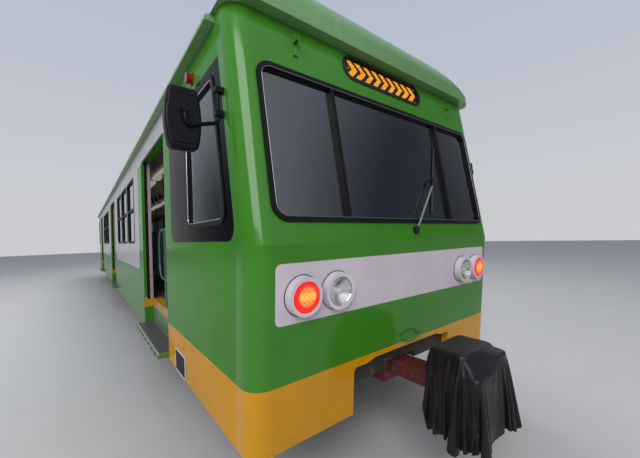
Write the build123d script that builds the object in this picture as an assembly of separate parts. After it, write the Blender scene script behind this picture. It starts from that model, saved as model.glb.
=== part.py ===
from build123d import *
import os
from math import atan, cos, radians, sin, sqrt, tan

# End motor car of a metro train, in millimetres.
# +X points forward to the cab end, +Y to the car's left side, +Z up.
# The origin is on the floor below the middle of the car, where the wheel flanges stand.

os.makedirs("parts", exist_ok=True)

# Wheels and rails
gauge = 1435
back_to_back = gauge - 75
flange_depth = 28
tread_diameter = 740
wheel_width = 135
flange_width = 32
rim_depth = 62
hub_radius = 125
web_thickness = 34
axle_radius = 75
journal_radius = 60
journal_clearance = 0.3
rail_top = flange_depth
axle_z = rail_top + tread_diameter / 2

# Heights of the floor, steps and skirt
wheel_clearance = 10
floor_thickness = 90
floor_bottom = rail_top + tread_diameter + flange_depth + wheel_clearance
floor_top = floor_bottom + floor_thickness
step_drop = 308
skirt_drop = 75
tread_top = floor_top - step_drop
skirt_bottom = tread_top - skirt_drop

# Heights of the body, each counted from the one below it
waist_z = floor_top + 753
door_top = waist_z + 1124
eave_z = door_top + 205
visor_z = eave_z + 50
shoulder_z = eave_z + 31
crown_z = shoulder_z + 339

# Width of the body and its walls
half_width = 1300
pocket_skin = 35
pocket_depth = 37
lining_thickness = 38
side_wall = pocket_skin + pocket_depth + lining_thickness
inner_half = half_width - side_wall
front_wall = 60
end_wall = 60
front_clearance = 2

# Doorways and their pocket sliding leaves
doorway_pitch = 6000
doorway_width = 1468
half_door = doorway_width / 2
doorways = (-doorway_pitch, 0, doorway_pitch)
leaf_clearance = 5.5
leaf_thickness = pocket_depth - 2 * leaf_clearance
leaf_overlap = 20
leaf_gap = 6
leaf_foot = 5
leaf_top_lap = 15
hanger_clearance = 0.3
hanger_half = 50
pocket_end_clearance = 12
header_groove = 25
leaf_width = half_door - leaf_gap / 2 + leaf_overlap
leaf_travel = half_door - leaf_gap / 2
pocket_length = leaf_width + pocket_end_clearance
leaf_y = half_width - pocket_skin - pocket_depth / 2

# Length of the body
end_length = 1946
crease_x = doorway_pitch + half_door + end_length
rear_x = -crease_x

# Front end: two rakes meeting at the waist, rounded corners
lower_rake = 0.073
upper_rake = 0.169
corner_radius = 120
front_depth = 190
rear_corner = 50

# Roof
eave_overhang = 60
roof_shell = 90
roof_half = half_width + eave_overhang
roof_corner_radius = 0.75 * (shoulder_z - eave_z)
visor_reach = 77
visor_lip = 30
visor_sweep = 230
visor_corner = 190

# Front openings
screen_half = half_width - corner_radius - 12
screen_bottom = waist_z + 123
screen_top = door_top - 68
screen_corner = 100
gasket_width = 26
gasket_proud = 12
gasket_depth = 40
gasket_lip = 8
mullion_y = 612
mullion_width = 28
glass_thickness = 8
display_half = 465
display_height = 200
display_z = visor_z - 120
display_rim = 22
cutout_half = 575
cutout_top = floor_top - 50
cutout_shoulder = cutout_top - 22
cutout_run = 120
cutout_slope = 80
cutout_corner = 32

# Lamps on the front band
lamp_z = waist_z - 286
headlamp_y = 745
bezel_radius = 115
bezel_rim = 27
bezel_height = 50
lamp_gap = 20
tail_lamp_y = headlamp_y + 2 * bezel_radius + lamp_gap
lens_radius = bezel_radius - bezel_rim
lens_seat = 12
lens_proud = 6
marker_x = crease_x - 903
marker_z = door_top + 75
marker_radius = 36
marker_length = 45

# Steps below the doorways
tread_thickness = 50
tread_reach = 100
tread_depth = tread_reach + side_wall
riser_thickness = 10
groove_width = 12
groove_depth = 5
groove_pitch = 24
groove_margin = 32
groove_count = int((tread_depth - 2 * groove_margin) / groove_pitch) + 1
bracket_thickness = 12

# Saloon windows in rows between the door pockets
window_bottom = waist_z + 18
window_top = door_top - 60
window_width = 900
window_pillar = 110
window_corner = 50
window_frame = 36
window_vent = 500
transom_half = 18
window_frame_depth = 22
window_frame_proud = 4
window_end_margin = 40
rear_window_margin = 180
rear_window_y = 640

# Cab side window, which leans with the front
cab_window_gap = 68
cab_window_setback = 308
cab_window_bottom = waist_z + 144
cab_window_top = door_top - 75
cab_window_corner = 70
cab_gasket_width = 18
cab_gasket_inner = 14

# Bulkhead behind the cab
bulkhead_x = doorway_pitch + half_door + 176
bulkhead_thickness = 40
bulkhead_window_pitch = 750
bulkhead_window_width = 460
bulkhead_window_bottom = waist_z + 79
bulkhead_window_top = door_top - 245

# Bogies
bogie_x = 5900
wheelbase = 2000
frame_y = 940
frame_width = 120
bolster_top = floor_bottom - 166
bolster_gap = 0.3
pin_radius = 70
pin_clearance = 6

# Underframe
beam_depth = 120
sill_beam_width = 90
sill_plate = 12
cross_beam_width = 100
cross_beam_pitch = 2140
end_beam_width = 180
bolster_width = 400
bolster_depth = 80
draft_half = 140
draft_depth = 70

# Couplers
coupler_z = floor_bottom - draft_depth - 68
coupler_proud = 545
coupler_reach = crease_x + coupler_proud
coupler_root = crease_x - 300
coupler_head = 270
shank_half = 60
head_half = 140
coupler_pocket_half = 170
cover_thickness = 18
cover_clearance = 0.3
cover_proud = 25
cover_half = 250
cover_length = 355
cover_top = coupler_z + 285

# Current collector on the roof
pantograph_x = -5700
insulator_height = 162
base_rail = 60
pivot_rise = 70
pantograph_pivot_z = crown_z + insulator_height + base_rail + pivot_rise
lower_arm_length = 1500
upper_arm_length = 1650
lower_arm_rise = 60
upper_arm_rise = 90
arm_journal = 24
knee_pin = 15
crossbar_radius = 20
pivot_clearance = 0.3


def block(x0, x1, y0, y1, z0, z1):
    """A box between two corners."""
    return Pos((x0 + x1) / 2, (y0 + y1) / 2, (z0 + z1) / 2) * Box(x1 - x0, y1 - y0, z1 - z0)


def rod(start, end, radius):
    """A round bar between two points."""
    start, end = Vector(*start), Vector(*end)
    axis = Plane(origin=start, z_dir=end - start)
    return extrude(axis * Circle(radius), (end - start).length)


def across(points, y0, y1):
    """An outline of (x, z) points extruded from y0 to y1."""
    outline = make_face(Polyline(*[(x, y0, z) for x, z in points], close=True))
    return extrude(outline, y1 - y0, dir=(0, 1, 0))


def along(points, x0, x1):
    """An outline of (y, z) points extruded from x0 to x1."""
    outline = make_face(Polyline(*[(x0, y, z) for y, z in points], close=True))
    return extrude(outline, x1 - x0, dir=(1, 0, 0))


def rounded_hole(x0, x1, z0, z1, radius, y0, y1):
    """A window-shaped cutter with round corners, through a side wall."""
    centre = Plane(origin=((x0 + x1) / 2, y0, (z0 + z1) / 2), x_dir=(1, 0, 0), z_dir=(0, 1, 0))
    return extrude(centre * RectangleRounded(x1 - x0, z1 - z0, radius), y1 - y0)


def left_copy(shape):
    """The same piece on the car's left side."""
    return mirror(shape, Plane.XZ)


def both_sides(*shapes):
    """Right-hand pieces with their left-hand copies."""
    return [*shapes, *[left_copy(shape) for shape in shapes]]


def save(node, *shapes):
    """Write one sub-part, one or more solids, as parts/NODE.step."""
    solids = [solid for shape in shapes for solid in shape.solids()]
    export_step(solids[0] if len(solids) == 1 else Compound(solids), f"parts/{node}.step")


def front_x(z):
    """The front face's place along the car at height z."""
    rake = lower_rake if z < waist_z else upper_rake
    return crease_x - rake * abs(z - waist_z)


def front_joint(z):
    """Where the side wall meets the front shell at height z."""
    return front_x(z) - front_depth


def raked(plan, bottom, top):
    """A plan at the waist crease, carried down and up along the two rakes of the front."""
    upper = extrude(plan, (top - waist_z) * sqrt(1 + upper_rake ** 2), dir=(-upper_rake, 0, 1))
    if bottom >= waist_z:
        return upper
    return upper + extrude(plan, (waist_z - bottom) * sqrt(1 + lower_rake ** 2), dir=(-lower_rake, 0, -1))


def front_plan(inset, depth, radius):
    """A rectangle at the waist with its two forward corners rounded."""
    width = 2 * (half_width - inset)
    plan = Pos(crease_x - inset - depth / 2, 0, waist_z) * Rectangle(depth, width)
    return fillet(plan.vertices().group_by(Axis.X)[-1], radius)


upper_tilt = atan(upper_rake)
lower_tilt = atan(lower_rake)
upper_face = Plane(origin=(crease_x, 0, waist_z), x_dir=(0, 1, 0), z_dir=(cos(upper_tilt), 0, sin(upper_tilt)))
lower_face = Plane(origin=(crease_x, 0, waist_z), x_dir=(0, 1, 0), z_dir=(cos(lower_tilt), 0, -sin(lower_tilt)))


def on_upper(y, z, proud=0):
    """A place on the leaning upper front, at height z."""
    return upper_face * Pos(y, (z - waist_z) / cos(upper_tilt), proud)


def on_lower(y, z, proud=0):
    """A place on the lower front, at height z."""
    return lower_face * Pos(y, (z - waist_z) / cos(lower_tilt), proud)


# Windscreen and display outlines, shared by the front, the rubber and the glass
screen_z = (screen_bottom + screen_top) / 2
screen_height = (screen_top - screen_bottom) / cos(upper_tilt)
screen_outline = RectangleRounded(2 * screen_half, screen_height, screen_corner)
screen_inner = RectangleRounded(
    2 * (screen_half - gasket_width), screen_height - 2 * gasket_width, screen_corner - gasket_width)
sight_half = screen_half - gasket_width - gasket_lip
sight_height = screen_height - 2 * gasket_width - 2 * gasket_lip
sight_outline = RectangleRounded(2 * sight_half, sight_height, screen_corner - gasket_width - gasket_lip)
display_outline = SlotOverall(2 * display_half, display_height)


def coupler_cutout(x0, x1):
    """The opening for the coupler in the skirt of an end wall, with a raised middle."""
    low = block(x0, x1, -cutout_half, cutout_half, skirt_bottom - 1, cutout_shoulder)
    low = fillet(low.edges().filter_by(Axis.X).group_by(Axis.Z)[-1], cutout_corner)
    foot_half = cutout_half - cutout_run
    top_half = foot_half - cutout_slope
    return low + along([(-foot_half, cutout_shoulder - 1), (-top_half, cutout_top), (top_half, cutout_top),
                        (foot_half, cutout_shoulder - 1)], x0, x1)


def front_end():
    """The raked front shell with its windscreen, display and coupler openings."""
    outer = front_plan(0, front_depth, corner_radius)
    inner = front_plan(front_wall, front_depth, corner_radius - front_wall)
    shell = raked(outer, skirt_bottom, visor_z) - raked(inner, skirt_bottom - 1, visor_z + 1)
    reach = 2 * front_depth
    screen_cut = extrude(on_upper(0, screen_z, -reach / 2) * screen_inner, reach)
    display_cut = extrude(on_upper(0, display_z, -reach / 2) * display_outline, reach)
    shell = shell - screen_cut - display_cut - coupler_cutout(crease_x - reach, crease_x + 1)
    for holder in flag_holders():
        shell += holder
    return shell + release_handle()


# Walls between the doorways: rear end, front end, pocket at the rear, pocket at the front
wall_table = [
    (rear_x + end_wall, -doorway_pitch - half_door, False, True),
    (-doorway_pitch + half_door, -half_door, True, True),
    (half_door, doorway_pitch - half_door, True, True),
    (doorway_pitch + half_door, None, True, False),
]


def wall_windows():
    """Every saloon window as (centre, width), as many as fit between the pockets of each wall."""
    windows = []
    pitch = window_width + window_pillar
    for rear, front, rear_pocket, front_pocket in wall_table[1:3]:
        low, high = rear + pocket_length + window_end_margin, front - pocket_length - window_end_margin
        count = int((high - low + window_pillar) / pitch)
        for index in range(count):
            windows.append(((low + high) / 2 + (index - (count - 1) / 2) * pitch, window_width))
    rear, front = wall_table[0][0], wall_table[0][1] - pocket_length
    windows.append(((rear + front) / 2, front - rear - 2 * rear_window_margin))
    return windows


cab_window_rear = doorway_pitch + half_door + pocket_length + cab_window_gap


def cab_window(offset, y0, y1):
    """The cab side window's outline, grown by an offset, as a solid across the wall."""
    outline = make_face(Polyline(
        (cab_window_rear, cab_window_bottom), (front_x(cab_window_bottom) - cab_window_setback, cab_window_bottom),
        (front_x(cab_window_top) - cab_window_setback, cab_window_top), (cab_window_rear, cab_window_top), close=True))
    outline = fillet(outline.vertices(), cab_window_corner)
    if offset:
        outline = make_face(outline.wire().offset_2d(offset))
    upright = Plane(origin=(0, y0, 0), x_dir=(1, 0, 0), z_dir=(0, -1, 0))
    return extrude(upright * outline, -(y1 - y0))


def wall(rear, front, y0, y1, bottom, top):
    """A stretch of side wall; a wall without a front end runs up to the raked front."""
    if front is not None:
        return block(rear, front, y0, y1, bottom, top)
    heights = [bottom] + [z for z in (waist_z,) if bottom < z < top] + [top]
    return across([(rear, bottom)] + [(front_joint(z), z) for z in heights] + [(rear, top)], y0, y1)


def with_windows(piece, y0, y1):
    """A piece of the right wall with the window openings cut through."""
    box = piece.bounding_box()
    for centre, width in wall_windows():
        if box.min.X < centre < box.max.X:
            piece -= rounded_hole(centre - width / 2, centre + width / 2, window_bottom, window_top,
                                  window_corner, y0 - 1, y1 + 1)
    if box.max.X > cab_window_rear:
        piece -= cab_window(0, y0 - 1, y1 + 1)
    return piece


def side_skins():
    """The right side's outer panels, from the skirt to the cantrail."""
    y0, y1 = -half_width, -half_width + pocket_skin
    return [with_windows(wall(rear, front, y0, y1, skirt_bottom, door_top), y0, y1)
            for rear, front, rear_pocket, front_pocket in wall_table]


def side_posts():
    """The right side's framed middle parts, which leave the door pockets free."""
    y0 = -half_width + pocket_skin
    y1 = y0 + pocket_depth
    posts = []
    for rear, front, rear_pocket, front_pocket in wall_table:
        start = rear + pocket_length if rear_pocket else rear
        end = front - pocket_length if front_pocket else front
        posts.append(with_windows(wall(start, end, y0, y1, floor_top, door_top), y0, y1))
    return posts


def side_linings():
    """The right side's inner panels, above the floor."""
    y0, y1 = -inner_half - lining_thickness, -inner_half
    return [with_windows(wall(rear, front, y0, y1, floor_top, door_top), y0, y1)
            for rear, front, rear_pocket, front_pocket in wall_table]


def sole_bars():
    """The right side's deep bars behind the skirt, closing the step wells."""
    return [wall(rear, front, -half_width + pocket_skin, -inner_half, skirt_bottom, floor_top)
            for rear, front, rear_pocket, front_pocket in wall_table]


def cantrail():
    """The right side's rail over the doorways, grooved for the leaves' hangers."""
    rail = wall(rear_x + end_wall, None, -half_width, -inner_half, door_top, eave_z)
    for centre in doorways:
        reach = half_door + pocket_length
        rail -= block(centre - reach, centre + reach, -leaf_y - pocket_depth / 2, -leaf_y + pocket_depth / 2,
                      door_top - 1, door_top + header_groove)
    return rail


def crown_radius(half, rise):
    """The radius of an arc of the given half width and rise."""
    return (half ** 2 + rise ** 2) / (2 * rise)


def roof_section(half, base, top, radius):
    """A crowned section across the car, standing on its base line."""
    shoulder = top - (radius - sqrt(radius ** 2 - half ** 2))
    arc = ThreePointArc((0, -half, shoulder), (0, 0, top), (0, half, shoulder))
    return make_face(arc + Polyline((0, -half, shoulder), (0, -half, base), (0, half, base), (0, half, shoulder)))


roof_radius = crown_radius(roof_half, crown_z - shoulder_z)
visor_x = front_x(visor_z) + visor_reach


def roof_cavity():
    """The section of the space under the roof, inside the walls."""
    return roof_section(inner_half, eave_z - 1, crown_z - roof_shell, roof_radius - roof_shell)


insulator_x = (-870, 270)
insulator_y = 350
insulator_pad = 60


def insulator_places():
    """Where the current collector's four insulators stand, as (x, y)."""
    return [(pantograph_x + dx, y) for dx in insulator_x for y in (-insulator_y, insulator_y)]


def roof():
    """The crowned roof with its eaves and the visor over the front."""
    section = roof_section(roof_half, eave_z, crown_z, roof_radius)
    section = fillet(section.vertices().group_by(Axis.Z)[-1], roof_corner_radius)
    shell = extrude(Pos(rear_x, 0, 0) * section, visor_x - rear_x, dir=(1, 0, 0))
    lip_top = visor_z + visor_lip
    profile = make_face(
        Polyline((visor_x, 0, lip_top), (visor_x, 0, eave_z - 1), (rear_x, 0, eave_z - 1), (rear_x, 0, crown_z),
                 (visor_x - visor_sweep, 0, crown_z))
        + ThreePointArc(
            (visor_x - visor_sweep, 0, crown_z),
            (visor_x - 0.27 * visor_sweep, 0, lip_top + 0.72 * (crown_z - lip_top)),
            (visor_x, 0, lip_top)))
    shell &= Pos(0, -roof_half - 1, 0) * extrude(profile, 2 * roof_half + 2, dir=(0, 1, 0))
    plan = Pos((rear_x + visor_x) / 2, 0, eave_z - 2) * Rectangle(visor_x - rear_x, 2 * roof_half)
    plan = fillet(plan.vertices().group_by(Axis.X)[-1], visor_corner)
    shell &= extrude(plan, crown_z - eave_z + 10)
    cavity_length = front_x(visor_z) - front_wall - rear_x - end_wall
    shell -= extrude(Pos(rear_x + end_wall, 0, 0) * roof_cavity(), cavity_length, dir=(1, 0, 0))
    front_space = 1000
    ahead = Pos(crease_x - front_depth + front_space / 2, 0, waist_z) * Rectangle(front_space, 2 * roof_half + 2)
    shell -= raked(ahead, waist_z, visor_z)
    for x, y in insulator_places():
        shell += block(x - insulator_pad, x + insulator_pad, y - insulator_pad, y + insulator_pad,
                       crown_z - roof_shell / 2, crown_z)
    return shell


ventilator_pitch = 1900
ventilator_length = 620
ventilator_half = 210
ventilator_height = 95
ventilator_rear = pantograph_x + insulator_x[1] + 1400


def roof_ventilators():
    """Low extractor cowls in a row along the roof, ahead of the current collector."""
    foot = crown_z - (roof_radius - sqrt(roof_radius ** 2 - ventilator_half ** 2))
    outline = [(-ventilator_length / 2, foot), (-ventilator_length / 2, crown_z + ventilator_height - 40),
               (-ventilator_length / 2 + 60, crown_z + ventilator_height),
               (ventilator_length / 2 - 60, crown_z + ventilator_height),
               (ventilator_length / 2, crown_z + ventilator_height - 40), (ventilator_length / 2, foot)]
    count = int((visor_x - visor_sweep - ventilator_length - ventilator_rear) / ventilator_pitch) + 1
    under = extrude(Pos(rear_x, 0, 0) * roof_section(roof_half - 1, eave_z, crown_z, roof_radius),
                    visor_x - rear_x, dir=(1, 0, 0))
    cowls = []
    for index in range(count):
        x = ventilator_rear + index * ventilator_pitch
        cowl = across([(x + dx, z) for dx, z in outline], -ventilator_half, ventilator_half)
        cowl = fillet(cowl.edges().filter_by(Axis.X).group_by(Axis.Z)[-1], 30)
        cowls.append(cowl - under)
    return cowls


def rear_end():
    """The flat rear wall with its two windows."""
    shell = block(rear_x, rear_x + end_wall, -half_width, half_width, skirt_bottom, eave_z)
    shell = fillet(shell.edges().filter_by(Axis.Z).group_by(Axis.X)[0], rear_corner)
    for y in (-rear_window_y, rear_window_y):
        cutter = Plane(origin=(rear_x - 1, y, (window_bottom + window_top) / 2), x_dir=(0, 1, 0), z_dir=(1, 0, 0))
        shell -= extrude(cutter * RectangleRounded(window_width, window_top - window_bottom, window_corner),
                         end_wall + 2)
    return shell - coupler_cutout(rear_x - 1, rear_x + end_wall + 1)


frame_rear = rear_x + end_wall


def frame_front(z):
    """The foremost place inside the front shell at height z."""
    return front_x(z) - front_wall - front_clearance


def floor():
    """The saloon and cab floor."""
    return block(frame_rear, frame_front(floor_bottom), -inner_half, inner_half, floor_bottom, floor_top)


beam_bottom = floor_bottom - beam_depth
sill_inner = inner_half - sill_beam_width


def side_sill():
    """The right side's channel below the floor's edge, open to the outside."""
    channel = [(-inner_half, beam_bottom), (-sill_inner, beam_bottom), (-sill_inner, floor_bottom),
               (-inner_half, floor_bottom), (-inner_half, floor_bottom - sill_plate),
               (-sill_inner - sill_plate, floor_bottom - sill_plate), (-sill_inner - sill_plate, beam_bottom + sill_plate),
               (-inner_half, beam_bottom + sill_plate)]
    return along(channel, frame_rear, frame_front(beam_bottom))


def cross_beams():
    """Channels across the car between the side sills, and a box beam at each end."""
    half, plate = cross_beam_width / 2, sill_plate
    channel = [(-half, beam_bottom), (half, beam_bottom), (half, beam_bottom + plate),
               (-half + plate, beam_bottom + plate), (-half + plate, floor_bottom - plate),
               (half, floor_bottom - plate), (half, floor_bottom), (-half, floor_bottom)]
    beams = [across([(x + dx, z) for dx, z in channel], -sill_inner, sill_inner)
             for x in [(index - 1.5) * cross_beam_pitch for index in range(4)]]
    pocket = coupler_pocket_half
    portal = [(-sill_inner, beam_bottom), (-pocket, beam_bottom), (-pocket, floor_bottom - draft_depth),
              (pocket, floor_bottom - draft_depth), (pocket, beam_bottom), (sill_inner, beam_bottom),
              (sill_inner, floor_bottom), (-sill_inner, floor_bottom)]
    front = frame_front(beam_bottom)
    beams.append(along(portal, frame_rear, frame_rear + end_beam_width))
    beams.append(along(portal, front - end_beam_width, front))
    return beams


def bolster(x, beam_end):
    """A bolster over a bogie with its pad and centre pin, and the draft sill out to the end beam."""
    beam = block(x - bolster_width / 2, x + bolster_width / 2, -sill_inner, sill_inner,
                 floor_bottom - bolster_depth, floor_bottom)
    x0, x1 = sorted((x, beam_end))
    beam += block(x0, x1, -draft_half, draft_half, floor_bottom - draft_depth, floor_bottom)
    pad_foot = bolster_top + bolster_gap
    beam += Pos(x, 0, pad_foot) * extrude(Circle(230), floor_bottom - pad_foot - 1)
    return beam + Pos(x, 0, bolster_top - 90) * extrude(Circle(pin_radius), 100)


def bulkhead():
    """The wall behind the cab, with a window either side of its door."""
    half = bulkhead_thickness / 2
    partition = block(bulkhead_x - half, bulkhead_x + half, -inner_half, inner_half, floor_top, eave_z)
    partition += extrude(Pos(bulkhead_x - half, 0, 0) * roof_cavity(), bulkhead_thickness, dir=(1, 0, 0))
    for pane in bulkhead_panes(bulkhead_thickness + 2):
        partition -= pane
    return partition


def bulkhead_panes(thickness):
    """The bulkhead's three panes, or their openings."""
    half = bulkhead_window_width / 2
    return [block(bulkhead_x - thickness / 2, bulkhead_x + thickness / 2, y - half, y + half,
                  bulkhead_window_bottom, bulkhead_window_top)
            for y in (-bulkhead_window_pitch, 0, bulkhead_window_pitch)]


def windscreen_gasket():
    """The rubber round the windscreen with its two mullions."""
    ring = extrude(on_upper(0, screen_z, 0) * (screen_outline - screen_inner), gasket_proud)
    height = gasket_depth + gasket_proud
    ring += extrude(on_upper(0, screen_z, -gasket_depth) * (screen_inner - sight_outline), height)
    for y in (-mullion_y, mullion_y):
        ring += extrude(on_upper(y, screen_z, -gasket_depth) * Rectangle(mullion_width, sight_height + gasket_lip),
                        height)
    return ring


def side_gasket():
    """The rubber round the right cab side window."""
    outer = cab_window(cab_gasket_width, -half_width - 8, -half_width)
    outer += cab_window(0, -half_width - 8, -half_width + 45)
    return outer - cab_window(-cab_gasket_inner, -half_width - 9, -half_width + 46)


def cab_glass():
    """Three windscreen panes and the two cab side panes."""
    screen = extrude(on_upper(0, screen_z, -gasket_depth / 2 - glass_thickness / 2) * sight_outline, glass_thickness)
    for y in (-mullion_y, mullion_y):
        screen -= extrude(on_upper(y, screen_z, -gasket_depth) * Rectangle(mullion_width, screen_height),
                          gasket_depth)
    side = cab_window(-cab_gasket_inner, -half_width + 16, -half_width + 16 + glass_thickness)
    return [screen, *both_sides(side)]


window_transom = window_top - window_vent
window_openings = [(window_bottom + window_frame, window_transom - transom_half),
                   (window_transom + transom_half, window_top - window_frame)]


def window_frames():
    """The right side's window rubbers, each with its transom bar."""
    frames = []
    back = -half_width + window_frame_depth
    for centre, width in wall_windows():
        x0, x1 = centre - width / 2, centre + width / 2
        frame = rounded_hole(x0, x1, window_bottom, window_top, window_corner, -half_width - window_frame_proud, back)
        for z0, z1 in window_openings:
            frame -= rounded_hole(x0 + window_frame, x1 - window_frame, z0, z1, 20, -half_width - 10, back + 1)
        frames.append(frame)
    return frames


def window_glass():
    """The right side's panes, one behind each frame."""
    y0 = -half_width + window_frame_depth
    return [rounded_hole(centre - width / 2, centre + width / 2, window_bottom, window_top, window_corner,
                         y0, y0 + glass_thickness) for centre, width in wall_windows()]


def rear_glass():
    """The panes of the rear wall's two windows."""
    panes = []
    for y in (-rear_window_y, rear_window_y):
        place = Plane(origin=(rear_x + end_wall / 3, y, (window_bottom + window_top) / 2),
                      x_dir=(0, 1, 0), z_dir=(1, 0, 0))
        panes.append(extrude(place * RectangleRounded(window_width, window_top - window_bottom, window_corner),
                             glass_thickness))
    return panes


def display():
    """The destination box: a frame in the front wall and its dark face."""
    case = extrude(on_upper(0, display_z, -45) * display_outline, 45 + 8)
    face = SlotOverall(2 * (display_half - display_rim), display_height - 2 * display_rim)
    return case - extrude(on_upper(0, display_z, -6) * face, 30)


# Lamps across the front: distance from the middle, whether a tail lamp
lamp_table = [(-tail_lamp_y, True), (-headlamp_y, False), (headlamp_y, False), (tail_lamp_y, True)]


def lamp_bezels():
    """The round housings that stand proud of the front."""
    bezels = []
    for y, is_tail in lamp_table:
        case = extrude(on_lower(y, lamp_z) * Circle(bezel_radius), bezel_height, taper=6)
        bezels.append(case - extrude(on_lower(y, lamp_z, lens_seat) * Circle(lens_radius), bezel_height))
    return bezels


def lamp_lenses(tail):
    """The lenses seated in the housings."""
    height = bezel_height - lens_seat + lens_proud
    return [extrude(on_lower(y, lamp_z, lens_seat) * Circle(lens_radius), height, taper=10)
            for y, is_tail in lamp_table if is_tail == tail]


def marker_lamps():
    """The round side lamps below the eaves."""
    foot = (marker_x, -half_width, marker_z)
    lamp = rod(foot, (marker_x, -half_width - marker_length, marker_z), marker_radius)
    base = rod(foot, (marker_x, -half_width - 12, marker_z), marker_radius + 8)
    return both_sides(lamp + base)


mirror_x = crease_x - 315
mirror_z = waist_z + 676
mirror_y = half_width + 220
mirror_width = 180
mirror_end_width = 138
mirror_height = 322
mirror_thickness = 62
mirror_corner = 26
mirror_rib = 8
mirror_tube = 11
mirror_joint_rise = 38
mirror_arm_drop = 50
mirror_arm_fall = 68
mirror_post = 205
mirror_post_gap = 32
mirror_bend = 32
clamp_half = 22
clamp_height = 28


def mirror_head():
    """The right mirror's housing with bulging sides and ribs across its back."""
    half, end, rise = mirror_width / 2, mirror_end_width / 2, mirror_height / 2
    outline = make_face(
        ThreePointArc((-end, -rise), (-half, 0), (-end, rise)) + Line((-end, rise), (end, rise))
        + ThreePointArc((end, rise), (half, 0), (end, -rise)) + Line((end, -rise), (-end, -rise)))
    face = fillet(outline.vertices(), mirror_corner)
    back = mirror_x + mirror_thickness / 2
    place = Plane(origin=(back, -mirror_y, mirror_z), x_dir=(0, 1, 0), z_dir=(1, 0, 0))
    head = extrude(place * face, -mirror_thickness)
    head = fillet(head.edges().group_by(Axis.X)[-1], 14)
    for z in (mirror_z - rise + 34, mirror_z + rise - 34):
        head += Pos(back, -mirror_y, z) * Box(mirror_rib, mirror_end_width - 30, 10)
    head += Pos(back, -mirror_y, mirror_z) * Box(mirror_rib, 26, mirror_height - 110)
    return head


def mirrors():
    """Each side's mirror head on its bent tube, clamped beside the cab window."""
    joint_z = mirror_z + mirror_joint_rise
    tube_x = mirror_x + mirror_thickness / 2 + mirror_rib + mirror_tube
    post_y = -half_width - mirror_post_gap
    low_z = mirror_z - mirror_arm_drop
    post_z = low_z + mirror_arm_fall
    path = FilletPolyline(
        (tube_x, -mirror_y, joint_z + 12), (tube_x, -mirror_y, low_z), (mirror_x, post_y, post_z),
        (mirror_x, post_y, post_z + mirror_post), radius=mirror_bend)
    start = Plane(origin=path @ 0, z_dir=path % 0)
    arm = sweep(start * Circle(mirror_tube), path=path)
    arm += rod((mirror_x + mirror_thickness / 2 - 6, -mirror_y, joint_z), (tube_x + 16, -mirror_y, joint_z), 19)
    for z in (post_z + mirror_bend + 20, post_z + mirror_post - 20):
        arm += block(mirror_x - clamp_half, mirror_x + clamp_half, post_y - 18, -half_width,
                     z - clamp_height / 2, z + clamp_height / 2)
    return both_sides(mirror_head() + arm)


def door_steps():
    """The right side's wells: a riser below each sill and a grooved tread on brackets."""
    wall_y = -inner_half
    outer = -half_width - tread_reach
    tread_bottom = tread_top - tread_thickness
    steps = []
    for centre in doorways:
        x0, x1 = centre - half_door, centre + half_door
        step = block(x0, x1, wall_y - riser_thickness, wall_y, tread_bottom, floor_top)
        step += block(x0, x1, outer, wall_y, tread_bottom, tread_top)
        for index in range(groove_count):
            y = outer + groove_margin + index * groove_pitch
            step -= block(x0 + 20, x1 - 20, y - groove_width / 2, y + groove_width / 2,
                          tread_top - groove_depth, tread_top + 1)
        for x in (x0 + 60, centre, x1 - 60):
            half = bracket_thickness / 2
            bracket = along([(outer + 40, tread_bottom), (wall_y, tread_bottom), (wall_y, tread_bottom - 70)],
                            x - half, x + half)
            step += bracket
        steps.append(step)
    return steps


post_inset = 135
post_radius = 17
loop_radius = 14
loop_half = 350
loop_bottom = waist_z - 441
loop_height = 635
loop_corner = 180


def doorway_posts():
    """A post in the middle of each doorway on the right."""
    y = -half_width + post_inset
    return [rod((centre, y, floor_top), (centre, y, loop_bottom + loop_height), post_radius) for centre in doorways]


def grab_loops():
    """The two halves of the oval grab loop round each post, as bent tubes."""
    halves = []
    y = -half_width + post_inset
    low, high = loop_bottom + loop_radius, loop_bottom + loop_height - loop_radius
    for centre in doorways:
        for way in (-1, 1):
            path = FilletPolyline((centre + way * post_radius, y, low), (centre + way * loop_half, y, low),
                                  (centre + way * loop_half, y, high), (centre + way * post_radius, y, high),
                                  radius=loop_corner)
            start = Plane(origin=path @ 0, z_dir=path % 0)
            tube = sweep(start * Circle(loop_radius), path=path)
            halves.append(tube - rod((centre, y, floor_top), (centre, y, door_top), post_radius))
    return halves


seat_width = 860
seat_depth = 430
seat_height = 420
cushion_thickness = 70
back_thickness = 60
back_height = 950
seat_plate = 25
bench_gap = 586
bench_pair = 60


def bench_places():
    """Each bench as (place of its back along the car, 1 facing forward or -1 rearward)."""
    places = [(rear_x + end_wall, 1)]
    for rear, front, rear_pocket, front_pocket in wall_table[1:3]:
        middle = (rear + front) / 2
        places += [(rear + bench_gap, 1), (middle - bench_pair, -1), (middle + bench_pair, 1), (front - bench_gap, -1)]
    return places


def seat_cushions():
    """Seat and back cushions of the right-hand benches."""
    cushions = []
    wall_y = -inner_half
    for x, facing in bench_places():
        seat_z = floor_top + seat_height
        x0, x1 = sorted((x + facing * (back_thickness + seat_plate), x + facing * seat_depth))
        seat = block(x0, x1, wall_y, wall_y + seat_width, seat_z - cushion_thickness, seat_z)
        cushions.append(fillet(seat.edges().filter_by(Axis.Y).group_by(Axis.Z)[-1], 25))
        x0, x1 = sorted((x + facing * seat_plate, x + facing * (seat_plate + back_thickness)))
        back = block(x0, x1, wall_y, wall_y + seat_width, seat_z + 1, floor_top + back_height)
        cushions.append(fillet(back.edges().filter_by(Axis.Y).group_by(Axis.Z)[-1], 25))
    return cushions


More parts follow.
